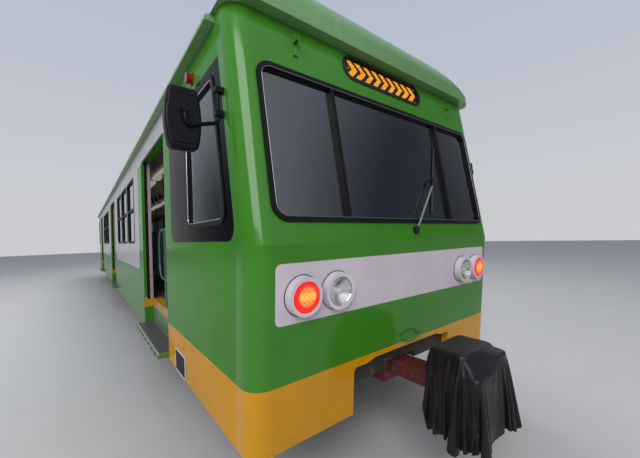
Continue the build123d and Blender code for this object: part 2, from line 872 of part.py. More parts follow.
def seat_frames():
    """The right-hand benches' back plates and bearers, each on an outer leg."""
    frames = []
    wall_y = -inner_half
    under = floor_top + seat_height - cushion_thickness
    for x, facing in bench_places():
        x0, x1 = sorted((x, x + facing * seat_plate))
        frame = block(x0, x1, wall_y, wall_y + seat_width, under - seat_plate, floor_top + back_height)
        x0, x1 = sorted((x, x + facing * seat_depth))
        frame += block(x0, x1, wall_y, wall_y + seat_width, under - seat_plate, under)
        foot, knee = x + facing * 60, x + facing * (seat_depth - 80)
        leg = across([(foot, floor_top), (foot + facing * 50, floor_top), (knee, under - seat_plate),
                      (x + facing * 20, under - seat_plate)], wall_y + seat_width - 60, wall_y + seat_width - 35)
        frames.append(frame + leg)
    return frames


desk_half = inner_half - 40
desk_depth = 460


def cab_desk():
    """The driver's desk across the cab below the windscreen."""
    front = frame_front(floor_top)
    top = waist_z - 40
    outline = [(front, floor_top), (front, top), (front - 160, top), (front - desk_depth, top - 110),
               (front - desk_depth, top - 190), (front - 240, top - 280), (front - 240, floor_top)]
    desk = across(outline, -desk_half, desk_half)
    hood = across([(front - 60, top), (front - 60, top + 60), (front - 150, top + 60), (front - 210, top - 20),
                   (front - 160, top)], -260, 260)
    return desk + hood


cab_seat_x = crease_x - 1160
cab_seat_half = 230


def cab_seat():
    """The driver's seat on its pedestal."""
    half = cab_seat_half
    seat = block(cab_seat_x - half, cab_seat_x + half, -half, half, floor_top + 430, floor_top + 520)
    seat = fillet(seat.edges().group_by(Axis.Z)[-1], 30)
    back = across([(cab_seat_x - half - 60, floor_top + 430), (cab_seat_x - half + 20, floor_top + 430),
                   (cab_seat_x - half, floor_top + 1080), (cab_seat_x - half - 70, floor_top + 1080)], -half, half)
    back = fillet(back.edges().group_by(Axis.Z)[-1], 30)
    foot = Pos(cab_seat_x, 0, floor_top)
    return seat + back + foot * extrude(Circle(60), 440) + foot * extrude(Circle(200), 20)


wiper_pivot = (60, screen_bottom - 54)
wiper_elbow = (430, screen_bottom + 381)
wiper_low = (340, screen_bottom + 86)
wiper_high = (560, screen_bottom + 686)
blade_radius = 9


def windscreen_wiper():
    """The single wiper, parked leaning on the left-hand part of the windscreen."""
    arm_proud = gasket_proud + 18
    glass_proud = -gasket_depth / 2 + glass_thickness / 2 + blade_radius + 0.3
    place = on_upper(*wiper_pivot)
    base = extrude(place * Circle(28), arm_proud - 6)
    start = on_upper(*wiper_pivot, arm_proud - 10).position
    end = on_upper(*wiper_elbow, arm_proud - 4).position
    arm = rod(start, end, 8)
    blade = rod(on_upper(*wiper_low, glass_proud).position, on_upper(*wiper_high, glass_proud).position, blade_radius)
    yoke = rod(end, on_upper(wiper_elbow[0] + 10, wiper_elbow[1], glass_proud - 5).position, 7)
    return base + arm + yoke + blade


bracket_y = 880
bracket_z = visor_z - 150


def flag_holders():
    """The two small flag and lamp holders welded on above the windscreen."""
    brackets = []
    for y in (-bracket_y, bracket_y):
        holder = extrude(on_upper(y, bracket_z, -5) * Rectangle(30, 130), 19)
        for side in (-1, 1):
            holder += extrude(on_upper(y + side * 11, bracket_z + 30, 14) * Rectangle(6, 44), 38)
        holder += extrude(on_upper(y, bracket_z + 30, 14) * Rectangle(28, 6), 30)
        brackets.append(holder)
    return brackets


release_low = 60
release_high = 90
release_z = cutout_top + 58
release_proud = 52


def release_handle():
    """The bent coupler release handle on the front, above the coupler."""
    path = FilletPolyline(
        on_lower(-release_low, release_z, -5).position, on_lower(-release_low, release_z, release_proud).position,
        on_lower(release_high, release_z + 30, release_proud).position,
        on_lower(release_high, release_z + 30, -5).position, radius=24)
    start = Plane(origin=path @ 0, z_dir=path % 0)
    handle = sweep(start * Circle(9), path=path)
    for y, z in ((-release_low, release_z), (release_high, release_z + 30)):
        handle += extrude(on_lower(y, z, -5) * Circle(20), 11)
    return handle


vent_front = crease_x - 1315
vent_width = 320
vent_height = 190
vent_margin = 18
slat_pitch = 33
slat_gap = 18


def skirt_vents():
    """The louvred vents low in the cab sides."""
    x1, x0 = vent_front, vent_front - vent_width
    bottom = skirt_bottom + 12
    vent = block(x0, x1, -half_width - 6, -half_width, bottom, bottom + vent_height)
    for index in range(int((vent_height - 2 * vent_margin) / slat_pitch) + 1):
        z = bottom + vent_margin + 4 + index * slat_pitch
        slot = block(x0 + vent_margin, x1 - vent_margin, -half_width - 7, -half_width - 2, z, z + slat_gap)
        vent -= slot
    return both_sides(vent)


equipment_inner = 300
equipment_setback = 40
equipment_chamfer = 40
# Boxes hung below the floor: centre along the car, length, side (-1 right, 1 left), depth
equipment_table = [(2350, 1500, -1, 380), (0, 1800, -1, 300), (-2350, 1500, -1, 380),
                   (2350, 1500, 1, 340), (0, 1800, 1, 380), (-2350, 1500, 1, 300)]


def equipment_boxes():
    """The equipment cases hung below the underframe, each with a ribbed cover on its outer face."""
    boxes = []
    outer = inner_half - equipment_setback
    for x, length, side, depth in equipment_table:
        y0, y1 = sorted((side * equipment_inner, side * outer))
        case = block(x - length / 2, x + length / 2, y0, y1, beam_bottom - depth, beam_bottom)
        case = chamfer(case.edges().filter_by(Axis.X).group_by(Axis.Z)[0], equipment_chamfer)
        for index in range(3):
            centre = x + (index - 1) * length / 3
            y0, y1 = sorted((side * (outer - 1), side * (outer + 12)))
            case += block(centre - length / 7, centre + length / 7, y0, y1,
                          beam_bottom - depth + 70, beam_bottom - 40)
        boxes.append(case)
    return boxes


def front_coupler():
    """The automatic coupler with its shank, below the cloth cover."""
    back = coupler_reach - coupler_head
    head_points = [(back, -130), (coupler_reach, -180), (coupler_reach, -60), (back + 160, -20), (back + 210, 90),
                   (coupler_reach, 150), (back + 210, 190), (back, 130)]
    head = extrude(Pos(0, 0, coupler_z - head_half) * make_face(Polyline(*head_points, close=True)), 2 * head_half)
    shank = block(coupler_root, back, -75, 75, coupler_z - shank_half, coupler_z + shank_half)
    bracket = block(coupler_root, coupler_root + 120, -150, 150, coupler_z - 110, floor_bottom - draft_depth)
    contacts = block(back, back + 200, -160, 160, coupler_z + head_half,
                     cover_top - cover_thickness - cover_clearance)
    return head + shank + bracket + contacts


drawbar_reach = coupler_proud + cover_proud
flange_half = 150
flange_plate = 30
flange_bolt = 105
flange_hole = 13


def rear_coupler():
    """The drawbar to the next car: a shank in its bracket and a square bolting flange."""
    root = coupler_root
    reach = crease_x + drawbar_reach
    shank = rod((root, 0, coupler_z), (reach - flange_plate, 0, coupler_z), shank_half)
    bracket = block(root, root + 120, -150, 150, coupler_z - 110, floor_bottom - draft_depth)
    flange = block(reach - flange_plate, reach, -flange_half, flange_half,
                   coupler_z - flange_half, coupler_z + flange_half)
    flange = fillet(flange.edges().filter_by(Axis.X), 30)
    for y in (-flange_bolt, flange_bolt):
        for dz in (-flange_bolt, flange_bolt):
            flange -= rod((reach - flange_plate - 1, y, coupler_z + dz), (reach + 1, y, coupler_z + dz), flange_hole)
    return Rot(0, 0, 180) * (shank + bracket + flange)


def coupler_cover():
    """The cloth cover draped over the front coupler, a plain closed solid."""
    x0, x1 = coupler_reach + cover_proud - cover_length, coupler_reach + cover_proud
    cover = block(x0, x1, -cover_half, cover_half, cover_top - cover_thickness, cover_top)
    for y0, y1 in ((-cover_half, -cover_half + 35), (cover_half - 35, cover_half)):
        cover += block(x0, x1, y0, y1, cover_top - 520, cover_top)
    return cover + block(x1 - cover_thickness, x1, -cover_half, cover_half, cover_top - 480, cover_top)


beam_end = 330
beam_rise = 60
frame_low = 500
frame_high = 560
bogie_transom_half = 260
spring_offset = 190
spring_radius = 55
spring_wire = 20
wing_top = axle_z - 30
wing_thickness = 30
shoe_gap = 8
shoe_thickness = 45
shoe_angle = 22
shoe_y = back_to_back / 2 + flange_width + 10
shoe_width = 85


def bogie_frame(x):
    """An H-shaped frame: two swan-necked side beams, the transom with its centre bore, and the brake blocks."""
    end, knee = wheelbase / 2 + beam_end, wheelbase / 2 - 300
    beam = [(-end, frame_low), (-end, frame_high), (-knee, frame_high), (-knee + 220, frame_high + 80),
            (knee - 220, frame_high + 80), (knee, frame_high), (end, frame_high), (end, frame_low),
            (knee + 20, frame_low), (knee - 270, frame_low - 70), (-knee + 270, frame_low - 70), (-knee - 20, frame_low)]
    half = frame_width / 2
    shape = across([(x + dx, z) for dx, z in beam], -frame_y - half, -frame_y + half)
    shape += across([(x + dx, z) for dx, z in beam], frame_y - half, frame_y + half)
    shape += block(x - bogie_transom_half, x + bogie_transom_half, -frame_y, frame_y, 460, bolster_top)
    shape -= Pos(x, 0, 400) * extrude(Circle(pin_radius + pin_clearance), 400)
    return shape + brake_blocks(x)


def brake_blocks(x):
    """A shoe on a hanger at the inner side of each wheel."""
    blocks = []
    inner = tread_diameter / 2 + shoe_gap
    outer = inner + shoe_thickness
    angle = radians(shoe_angle)
    for way in (-1, 1):
        wheel_x = x + way * wheelbase / 2
        for side in (-1, 1):
            y0, y1 = sorted((side * shoe_y, side * (shoe_y + shoe_width)))
            tall = outer * sin(angle)
            zone = block(wheel_x - way * outer if way > 0 else wheel_x, wheel_x if way > 0 else wheel_x - way * outer,
                         y0, y1, axle_z - tall, axle_z + tall)
            shoe = zone & rod((wheel_x, y0, axle_z), (wheel_x, y1, axle_z), outer)
            shoe -= rod((wheel_x, y0 - 1, axle_z), (wheel_x, y1 + 1, axle_z), inner)
            hanger_x = wheel_x - way * (outer - 14)
            low, high = sorted((side * (shoe_y + shoe_width - 30), side * (shoe_y + shoe_width)))
            hanger = block(hanger_x - 12, hanger_x + 12, low, high, axle_z - 20, frame_low + 40)
            low, high = sorted((side * (shoe_y + shoe_width - 30), side * (frame_y - frame_width / 2 + 5)))
            pin = rod((hanger_x, low, frame_low + 25), (hanger_x, high, frame_low + 25), 20)
            blocks.append(shoe + hanger + pin)
    return blocks


def coil_spring(x, y, bottom, top):
    """A coil spring as a stack of rounded turns about an upright axis."""
    turns = 4
    pitch = (top - bottom) / turns
    core = Pos(x, y, bottom) * extrude(Circle(spring_radius - spring_wire), top - bottom)
    for index in range(turns):
        ring = Pos(x, y, bottom + (index + 0.5) * pitch) * Torus(spring_radius - spring_wire / 2, spring_wire / 2)
        core += ring
    return core


def bogie_boxes(x):
    """The four axle boxes below the side beams, each with two coil springs on its wings."""
    boxes = []
    for dx in (-wheelbase / 2, wheelbase / 2):
        for y in (-frame_y, frame_y):
            centre = x + dx
            box = block(centre - 130, centre + 130, y - 55, y + 55, axle_z - 95, axle_z + 75)
            box = fillet(box.edges().filter_by(Axis.Y), 40)
            wing = spring_offset + spring_radius + 10
            box += block(centre - wing, centre + wing, y - 55, y + 55, wing_top - wing_thickness, wing_top)
            for side in (-1, 1):
                box += coil_spring(centre + side * spring_offset, y, wing_top, frame_low)
            cap_y = y + (70 if y > 0 else -70)
            box += rod((centre, y, axle_z), (centre, cap_y, axle_z), 85)
            inner_y = y - (56 if y > 0 else -56)
            cap_end = y + (52 if y > 0 else -52)
            box -= rod((centre, inner_y, axle_z), (centre, cap_end, axle_z), journal_radius + journal_clearance)
            boxes.append(box)
    return boxes


motor_offset = 480
motor_radius = 200
motor_z = 440


def bogie_motors(x):
    """The two traction motors beside the transom, each a stepped round case with a nose on the frame."""
    motors = []
    stations = [(-290, 90), (-260, 170), (-230, motor_radius), (-60, motor_radius), (-60, motor_radius - 14),
                (180, motor_radius - 14), (180, motor_radius), (350, motor_radius), (400, 160), (420, 90)]
    for side in (-1, 1):
        centre = x + side * motor_offset
        points = [(centre, stations[0][0], motor_z)] + [(centre, y, motor_z + r) for y, r in stations]
        points.append((centre, stations[-1][0], motor_z))
        case = revolve(make_face(Polyline(*points, close=True)), Axis((centre, 0, motor_z), (0, 1, 0)))
        near, far = sorted((x + side * bogie_transom_half, centre))
        motors.append(case + block(near, far, -200, 300, motor_z + 30, motor_z + 150))
    return motors


def wheelset(x):
    """Two flanged wheels with dished webs on their axle."""
    tread = tread_diameter / 2
    inner = back_to_back / 2
    outer = inner + wheel_width
    rim = tread - rim_depth
    web = inner + 40
    profile = [
        (inner, axle_radius), (inner, hub_radius), (web - 12, hub_radius + 10), (web, rim - 12), (inner, rim),
        (inner, tread + flange_depth), (inner + flange_width - 12, tread + flange_depth),
        (inner + flange_width, tread + 1), (outer, tread - 4), (outer, rim), (web + web_thickness, rim - 12),
        (web + web_thickness - 12, hub_radius + 10), (inner + wheel_width, hub_radius), (inner + wheel_width, axle_radius),
    ]
    outline = make_face(Polyline(*[(x, y, axle_z + r) for y, r in profile], close=True))
    outline = fillet(outline.vertices().group_by(Axis.Z)[-1], 9)
    wheel = revolve(outline, Axis((x, 0, axle_z), (0, 1, 0)))
    end = frame_y + 50
    step = frame_y - 80
    axle = rod((x, -step, axle_z), (x, step, axle_z), axle_radius)
    axle += rod((x, -end, axle_z), (x, end, axle_z), journal_radius)
    return axle + wheel + mirror(wheel, Plane.XZ)


leaf_window_bottom = waist_z - 61
leaf_window_top = door_top - 185
leaf_nose = 110
leaf_tail = 170
leaf_window_corner = 60
leaf_pane = 6


def door_leaf(centre, side, way, opened):
    """A leaf with its window pane; side is -1 right or 1 left, way the direction it opens."""
    start = centre + way * (leaf_gap / 2 + (leaf_travel if opened else 0))
    x0, x1 = sorted((start, start + way * leaf_width))
    y = side * leaf_y
    half = leaf_thickness / 2
    top = door_top + leaf_top_lap
    leaf = block(x0, x1, y - half, y + half, floor_top + leaf_foot, top)
    nose_edges = leaf.edges().filter_by(Axis.Z).sort_by(lambda edge: way * edge.center().X)[:2]
    leaf = fillet(nose_edges, leaf_thickness / 3)
    low, high = sorted((start + way * leaf_nose, start + way * (leaf_width - leaf_tail)))
    leaf -= rounded_hole(low, high, leaf_window_bottom, leaf_window_top, leaf_window_corner, y - half - 1, y + half + 1)
    for dx in (leaf_width / 5, leaf_width * 4 / 5):
        x = start + way * dx
        leaf += block(x - hanger_half, x + hanger_half, y - 8, y + 8, top, door_top + header_groove - hanger_clearance)
    pane = rounded_hole(low, high, leaf_window_bottom, leaf_window_top, leaf_window_corner,
                        y - leaf_pane / 2, y + leaf_pane / 2)
    return leaf, pane


base_half = 380
base_bar = 60
base_margin = 30
ear_half = 45


def pantograph_base():
    """The collector's base frame on its four ribbed insulators."""
    px, pz = pantograph_x, pantograph_pivot_z
    top, bottom = pz - pivot_rise, pz - pivot_rise - base_rail
    x0, x1 = px + insulator_x[0] - base_margin, px + insulator_x[1] + base_margin
    base = block(x0, x1, -base_half, base_half, bottom, top)
    base -= block(x0 + base_bar, x1 - base_bar, -base_half + base_bar, base_half - base_bar, bottom - 1, top + 1)
    for x, y in insulator_places():
        base += rod((x, y, crown_z), (x, y, bottom), 32)
        for index in range(4):
            z = crown_z + (index + 0.5) * insulator_height / 4
            base += rod((x, y, z - 8), (x, y, z + 8), 52)
    for y in (-insulator_y, insulator_y):
        base += block(px - ear_half, px + ear_half, y - 15, y + 15, top, pz + ear_half)
    return base - rod((px, -base_half - 20, pz), (px, base_half + 20, pz), arm_journal + pivot_clearance)


def pantograph_lower_arm():
    """The lower arm: its shaft in the base, the main tube and the knee barrel with its pin."""
    px, pz = pantograph_x, pantograph_pivot_z
    knee_x, knee_z = px - lower_arm_length, pz + lower_arm_rise
    shaft_half = insulator_y - 15 - 10
    arm = rod((px, -shaft_half, pz), (px, shaft_half, pz), 38)
    arm += rod((px, -insulator_y - 15, pz), (px, insulator_y + 15, pz), arm_journal)
    arm += rod((px, 0, pz), (knee_x, 0, knee_z), 40)
    arm += rod((knee_x, -80, knee_z), (knee_x, 80, knee_z), 42)
    return arm + rod((knee_x, -155, knee_z), (knee_x, 155, knee_z), knee_pin)


def pantograph_upper_arm():
    """The upper arm: two tubes from the knee to the crossbar that carries the head."""
    knee_x, knee_z = pantograph_x - lower_arm_length, pantograph_pivot_z + lower_arm_rise
    head_x, head_z = knee_x + upper_arm_length, knee_z + upper_arm_rise
    arm = rod((head_x, -330, head_z), (head_x, 330, head_z), crossbar_radius)
    for side in (-1, 1):
        arm += rod((knee_x, side * 86, knee_z), (knee_x, side * 150, knee_z), 36)
        arm += rod((knee_x, side * 118, knee_z), (head_x, side * 220, head_z), 19)
    return arm - rod((knee_x, -200, knee_z), (knee_x, 200, knee_z), knee_pin + pivot_clearance)


strip_offset = 180
strip_half = 25
strip_flat = 420
horn_reach = 700
horn_drop = 100


def pantograph_head():
    """The collector head: two carbon strips with turned-down horns on crossed bearers."""
    x = pantograph_x - lower_arm_length + upper_arm_length
    z = pantograph_pivot_z + lower_arm_rise + upper_arm_rise
    horn = [(-strip_flat, z + 60), (strip_flat, z + 60), (horn_reach, z + 60 - horn_drop),
            (horn_reach, z + 30 - horn_drop), (strip_flat - 10, z + 30), (-strip_flat + 10, z + 30),
            (-horn_reach, z + 30 - horn_drop), (-horn_reach, z + 60 - horn_drop)]
    head = along(horn, x - strip_offset - strip_half, x - strip_offset + strip_half)
    head += along(horn, x + strip_offset - strip_half, x + strip_offset + strip_half)
    for y in (-300, 300):
        head += block(x - strip_offset, x + strip_offset, y - 15, y + 15, z + 30, z + 55)
        head += block(x - 40, x + 40, y - 15, y + 15, z - 40, z + 30)
    return head - rod((x, -400, z), (x, 400, z), crossbar_radius + pivot_clearance)


def build():
    """Make every sub-part and write it."""
    save("side_sills", *both_sides(side_sill()))
    save("cross_beams", *cross_beams())
    save("bolsters", bolster(bogie_x, frame_front(beam_bottom) - end_beam_width),
         bolster(-bogie_x, frame_rear + end_beam_width))
    save("floor", floor())
    save("sole_bars", *both_sides(*sole_bars()))
    save("front_end", front_end())
    save("rear_end", rear_end())
    save("side_skins", *both_sides(*side_skins()))
    save("side_posts", *both_sides(*side_posts()))
    save("side_linings", *both_sides(*side_linings()))
    save("cantrails", *both_sides(cantrail()))
    save("roof", roof())
    save("roof_ventilators", *roof_ventilators())
    save("cab_bulkhead", bulkhead())
    save("window_rubbers", windscreen_gasket(), *both_sides(side_gasket(), *window_frames()))
    save("window_glass", *cab_glass(), *bulkhead_panes(glass_thickness), *both_sides(*window_glass()), *rear_glass())
    save("destination_display", display())
    save("lamp_bezels", *lamp_bezels())
    save("headlamp_lenses", *lamp_lenses(False))
    save("red_lamps", *lamp_lenses(True), *marker_lamps())
    save("mirrors", *mirrors())
    save("door_steps", *both_sides(*door_steps()))
    save("doorway_posts", *both_sides(*doorway_posts()))
    save("grab_loops", *both_sides(*grab_loops()))
    save("seat_cushions", *both_sides(*seat_cushions()))
    save("seat_frames", *both_sides(*seat_frames()))
    save("cab_desk", cab_desk())
    save("cab_seat", cab_seat())
    save("windscreen_wiper", windscreen_wiper())
    save("skirt_vents", *skirt_vents())
    save("equipment_boxes", *equipment_boxes())
    save("front_coupler", front_coupler())
    save("rear_coupler", rear_coupler())
    save("coupler_cover", coupler_cover())
    save("pantograph_base", pantograph_base())
    save("pantograph_lower_arm", pantograph_lower_arm())
    save("pantograph_upper_arm", pantograph_upper_arm())
    save("pantograph_head", pantograph_head())
    for end, x in (("front", bogie_x), ("rear", -bogie_x)):
        save(f"bogie_frame_{end}", bogie_frame(x))
        save(f"bogie_boxes_{end}", *bogie_boxes(x))
        save(f"bogie_motors_{end}", *bogie_motors(x))
    axles = [bogie + way * wheelbase / 2 for bogie in (bogie_x, -bogie_x) for way in (1, -1)]
    for number, x in enumerate(axles, start=1):
        save(f"wheelset_{number}", wheelset(x))
    for number, centre in enumerate(reversed(doorways), start=1):
        for side_name, side in (("right", -1), ("left", 1)):
            for way_name, way in (("front", 1), ("rear", -1)):
                leaf = door_leaf(centre, side, way, opened=side < 0)
                save(f"door_{number}_{side_name}_{way_name}", *leaf)


build()
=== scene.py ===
import bpy
import bmesh
import math
from mathutils import Matrix, Vector
from mathutils.bvhtree import BVHTree


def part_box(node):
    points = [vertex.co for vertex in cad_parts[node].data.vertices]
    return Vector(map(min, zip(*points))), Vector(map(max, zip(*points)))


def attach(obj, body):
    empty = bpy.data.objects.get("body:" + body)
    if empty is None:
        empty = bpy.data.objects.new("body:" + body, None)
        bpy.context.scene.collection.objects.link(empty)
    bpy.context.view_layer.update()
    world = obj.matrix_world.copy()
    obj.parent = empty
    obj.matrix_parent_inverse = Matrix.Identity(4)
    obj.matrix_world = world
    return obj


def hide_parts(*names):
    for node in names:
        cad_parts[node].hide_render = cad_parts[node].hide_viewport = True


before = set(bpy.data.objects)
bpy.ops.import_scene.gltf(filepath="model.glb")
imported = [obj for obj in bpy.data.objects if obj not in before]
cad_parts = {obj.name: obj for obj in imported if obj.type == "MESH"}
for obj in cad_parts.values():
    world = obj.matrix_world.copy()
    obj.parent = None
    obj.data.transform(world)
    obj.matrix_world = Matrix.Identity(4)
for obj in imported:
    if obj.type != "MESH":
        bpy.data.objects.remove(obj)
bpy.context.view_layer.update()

# Sizes shared with the model, in metres
RAIL = 0.028
HALF = 1.300
CREASE_X = 8.680
WAIST_Z = RAIL + 1.621
DOOR_TOP = RAIL + 2.745
LOWER_RAKE = 0.073
UPPER_RAKE = 0.169
DOOR_PITCH = 6.0
HALF_DOOR = 0.734
LEAF_Y = 1.2465
HALF_LEAF = 0.013
LAMP_Z = RAIL + 1.335
HEAD_Y = 0.745
TAIL_Y = 0.995
DISPLAY_Z = RAIL + 2.880
BOGIE_X = 5.9
AXLE_STEP = 1.0
AXLE_Z = 0.398
WHEEL_RADIUS = 0.370
SCREEN_Z = 2.2385
GASKET_PROUD = 0.012
SIGHT = (1.137, 0.4421)
WIPER_PIVOT = (0.060, 1.718)
WIPER_ELBOW = (0.430, 2.153)
INSULATOR_TOP = 3.51
ROOF_SHEET = 0.75
PANE_HALF = 0.0045
SCREEN_REAR_X = 8.3

# Where the body's colours change: heights above the rail's top, x along the car
SKIRT_TOP, SKIRT_REAR_X = 0.855, 6.727
WELL_FROM, WELL_TO, WELL_FRONT_X = 0.765, 0.90, 8.25
PANEL_MIDDLE, PANEL_HALF_LENGTH, PANEL_HALF_HEIGHT, PANEL_FRONT_X = 2.264, 1.91, 1.0, 5.35
LINTEL_FROM, LINTEL_FRONT_X = 2.722, 6.94
BAND_MIDDLE, BAND_HALF_WIDTH, BAND_HALF_HEIGHT, BAND_CORNER = 1.3525, 1.165, 0.1675, 0.035
SURROUND_FROM, SURROUND_TO, SURROUND_MIDDLE, SURROUND_HALF = 1.645, 2.7375, 2.245, 0.6
# its two parts and its ends, forward of the waist crease
SURROUND_REAR, SURROUND_FRONT = -1.695, -0.186
FRONT_PART_MIDDLE, FRONT_PART_HALF, REAR_PART_MIDDLE, REAR_PART_HALF = -0.85, 0.662, -1.195, 0.5
FRONT_FACE_X = 8.51
CORNER_RADIUS = 0.11
INNER_WALL_Y = 1.245
TREAD_TOP, GROOVE_FLOOR = 0.565, 0.5575
LENS_DOTS = 210.0


# ---------------------------------------------------------------- node helpers
class Nodes:
    """Short calls for building a tree of nodes."""

    def __init__(self, tree):
        self.tree = tree

    def node(self, kind, values=None, **props):
        """A new node; values fill or link its inputs, by their names or numbers."""
        made = self.tree.nodes.new(kind)
        for name, value in props.items():
            setattr(made, name, value)
        for name, value in (values or {}).items():
            self.put(made.inputs[name], value)
        return made

    def put(self, socket, value):
        """Link a socket, or set a plain value on it."""
        if isinstance(value, bpy.types.NodeSocket):
            self.tree.links.new(value, socket)
        elif isinstance(value, (tuple, list)) and len(value) == 3 and socket.type == "RGBA":
            socket.default_value = (*value, 1.0)
        else:
            socket.default_value = value

    def math(self, operation, a, b=None, clamp=False):
        values = {0: a} if b is None else {0: a, 1: b}
        return self.node("ShaderNodeMath", values, operation=operation, use_clamp=clamp).outputs[0]

    def plus(self, a, b, clamp=False):
        return self.math("ADD", a, b, clamp)

    def minus(self, a, b):
        return self.math("SUBTRACT", a, b)

    def times(self, a, b, clamp=False):
        return self.math("MULTIPLY", a, b, clamp)

    def off(self, value):
        """How far a value is from 0, to either side."""
        return self.math("ABSOLUTE", value)

    def split(self, vector):
        return tuple(self.node("ShaderNodeSeparateXYZ", {0: vector}).outputs)


class Shades(Nodes):
    """Short calls for building a shader tree."""

    def step(self, value, low, high):
        """0 below low, 1 above high, smooth between."""
        return self.node("ShaderNodeMapRange", {"Value": value, "From Min": low, "From Max": high},
                         interpolation_type="SMOOTHSTEP").outputs["Result"]

    def above(self, value, edge, soft=0.002):
        """1 above an edge, 0 below it, soft to each side."""
        return self.step(value, edge - soft, edge + soft)

    def below(self, value, edge, soft=0.002):
        """1 below an edge, 0 above it, soft to each side."""
        return self.step(value, edge + soft, edge - soft)

    def band(self, value, low, high, soft=0.001):
        """1 between low and high."""
        return self.times(self.above(value, low, soft), self.below(value, high, soft))

    def remap(self, value, low, high, new_low, new_high):
        return self.node("ShaderNodeMapRange", {"Value": value, "From Min": low, "From Max": high,
                                                "To Min": new_low, "To Max": new_high}).outputs["Result"]

    def all_of(self, *masks):
        total = masks[0]
        for mask in masks[1:]:
            total = self.times(total, mask)
        return total

    def any_of(self, *masks):
        total = masks[0]
        for mask in masks[1:]:
            total = self.math("MAXIMUM", total, mask)
        return total

    def mix(self, factor, a, b, blend="MIX"):
        return self.node("ShaderNodeMix", {0: factor, 6: a, 7: b}, data_type="RGBA", blend_type=blend).outputs[2]

    def blend(self, field, a, b, low=0.3, high=0.7):
        """From colour a to colour b as a field goes from low to high."""
        return self.mix(self.remap(field, low, high, 0.0, 1.0), a, b)

    def noise(self, vector, scale, detail=3.0, roughness=0.5):
        values = {"Vector": vector, "Scale": scale, "Detail": detail, "Roughness": roughness}
        return self.node("ShaderNodeTexNoise", values).outputs["Fac"]

    def bands(self, vector, scale, direction):
        """Even waves along one axis."""
        values = {"Vector": vector, "Scale": scale}
        return self.node("ShaderNodeTexWave", values, bands_direction=direction).outputs["Fac"]

    def cells(self, vector, scale):
        return self.node("ShaderNodeTexVoronoi", {"Vector": vector, "Scale": scale}).outputs["Distance"]

    def stretch(self, vector, scale):
        return self.node("ShaderNodeMapping", {"Vector": vector, "Scale": scale}).outputs["Vector"]

    def length(self, a, b):
        """The distance of the point (a, b) from the origin."""
        return self.math("SQRT", self.plus(self.times(a, a), self.times(b, b)))

    def bump(self, height, strength, distance=0.001, normal=None):
        values = {"Strength": strength, "Distance": distance, "Height": height}
        if normal is not None:
            values["Normal"] = normal
        return self.node("ShaderNodeBump", values).outputs["Normal"]

    def group(self, tree, **values):
        """A shared group with its inputs filled; an underscore stands for the space in an input's name."""
        named = {name.replace("_", " "): value for name, value in values.items()}
        return self.node("ShaderNodeGroup", named, node_tree=tree).outputs


def new_group(name, inputs, outputs):
    """An empty shader group with its sockets; returns its tree, helper, input sockets and output sockets."""
    tree = bpy.data.node_groups.new(name, "ShaderNodeTree")
    kinds = {"f": "NodeSocketFloat", "c": "NodeSocketColor", "v": "NodeSocketVector"}
    for way, sockets in (("INPUT", inputs), ("OUTPUT", outputs)):
        for label, kind in sockets:
            tree.interface.new_socket(name=label, in_out=way, socket_type=kinds[kind])
    return tree, Shades(tree), tree.nodes.new("NodeGroupInput").outputs, tree.nodes.new("NodeGroupOutput").inputs


def srgb(r, g, b):
    """A colour given by its 0-255 display values."""
    def lin(v):
        v /= 255
        return v / 12.92 if v <= 0.04045 else ((v + 0.055) / 1.055) ** 2.4
    return (lin(r), lin(g), lin(b))


def shade_of(color, share):
    """A colour made darker or lighter by a share."""
    return tuple(v * share for v in color)


# ---------------------------------------------------------------- shared shader groups
def make_grime():
    """Dust that gathers low down, streaks that run down, and blotches."""
    tree, t, given, out = new_group(
        "grime", [("Position", "v"), ("Color", "c"), ("Dust", "f"), ("Streaks", "f"), ("Low", "f"), ("High", "f")],
        [("Color", "c"), ("Rough", "f")])
    place = given["Position"]
    cloud = t.noise(place, 2.3, 5.0, 0.6)
    fine = t.noise(place, 38.0, 3.0, 0.6)
    height = t.step(t.split(place)[2], given["High"], given["Low"])
    patch = t.remap(cloud, 0.35, 0.75, 0.25, 1.0)
    dust = t.times(t.times(height, patch), given["Dust"], clamp=True)
    streak = t.step(t.noise(t.stretch(place, (9.0, 9.0, 0.35)), 2.2, 4.0, 0.65), 0.52, 0.78)
    streak = t.times(t.times(streak, given["Streaks"]), t.remap(fine, 0.3, 0.7, 0.5, 1.0))
    worn = t.mix(1.0, given["Color"], (0.86, 0.87, 0.86), "MULTIPLY")
    tone = t.blend(cloud, given["Color"], worn)
    dirty = t.mix(dust, tone, srgb(104, 96, 84))
    t.put(out["Color"], t.mix(streak, dirty, srgb(46, 44, 38)))
    t.put(out["Rough"], t.plus(t.times(dust, 0.4), t.times(streak, 0.25), clamp=True))
    return tree


def make_rounded_rect():
    """1 inside a rectangle with round corners, from two coordinates."""
    tree, t, given, out = new_group(
        "rounded_rect", [("U", "f"), ("V", "f"), ("Half U", "f"), ("Half V", "f"), ("Radius", "f"), ("Soft", "f")],
        [("Mask", "f")])
    du = t.minus(t.off(given["U"]), t.minus(given["Half U"], given["Radius"]))
    dv = t.minus(t.off(given["V"]), t.minus(given["Half V"], given["Radius"]))
    corner = t.length(t.math("MAXIMUM", du, 0.0), t.math("MAXIMUM", dv, 0.0))
    inside = t.math("MINIMUM", t.math("MAXIMUM", du, dv), 0.0)
    distance = t.minus(t.plus(corner, inside), given["Radius"])
    t.put(out["Mask"], t.step(distance, given["Soft"], t.times(given["Soft"], -1.0)))
    return tree


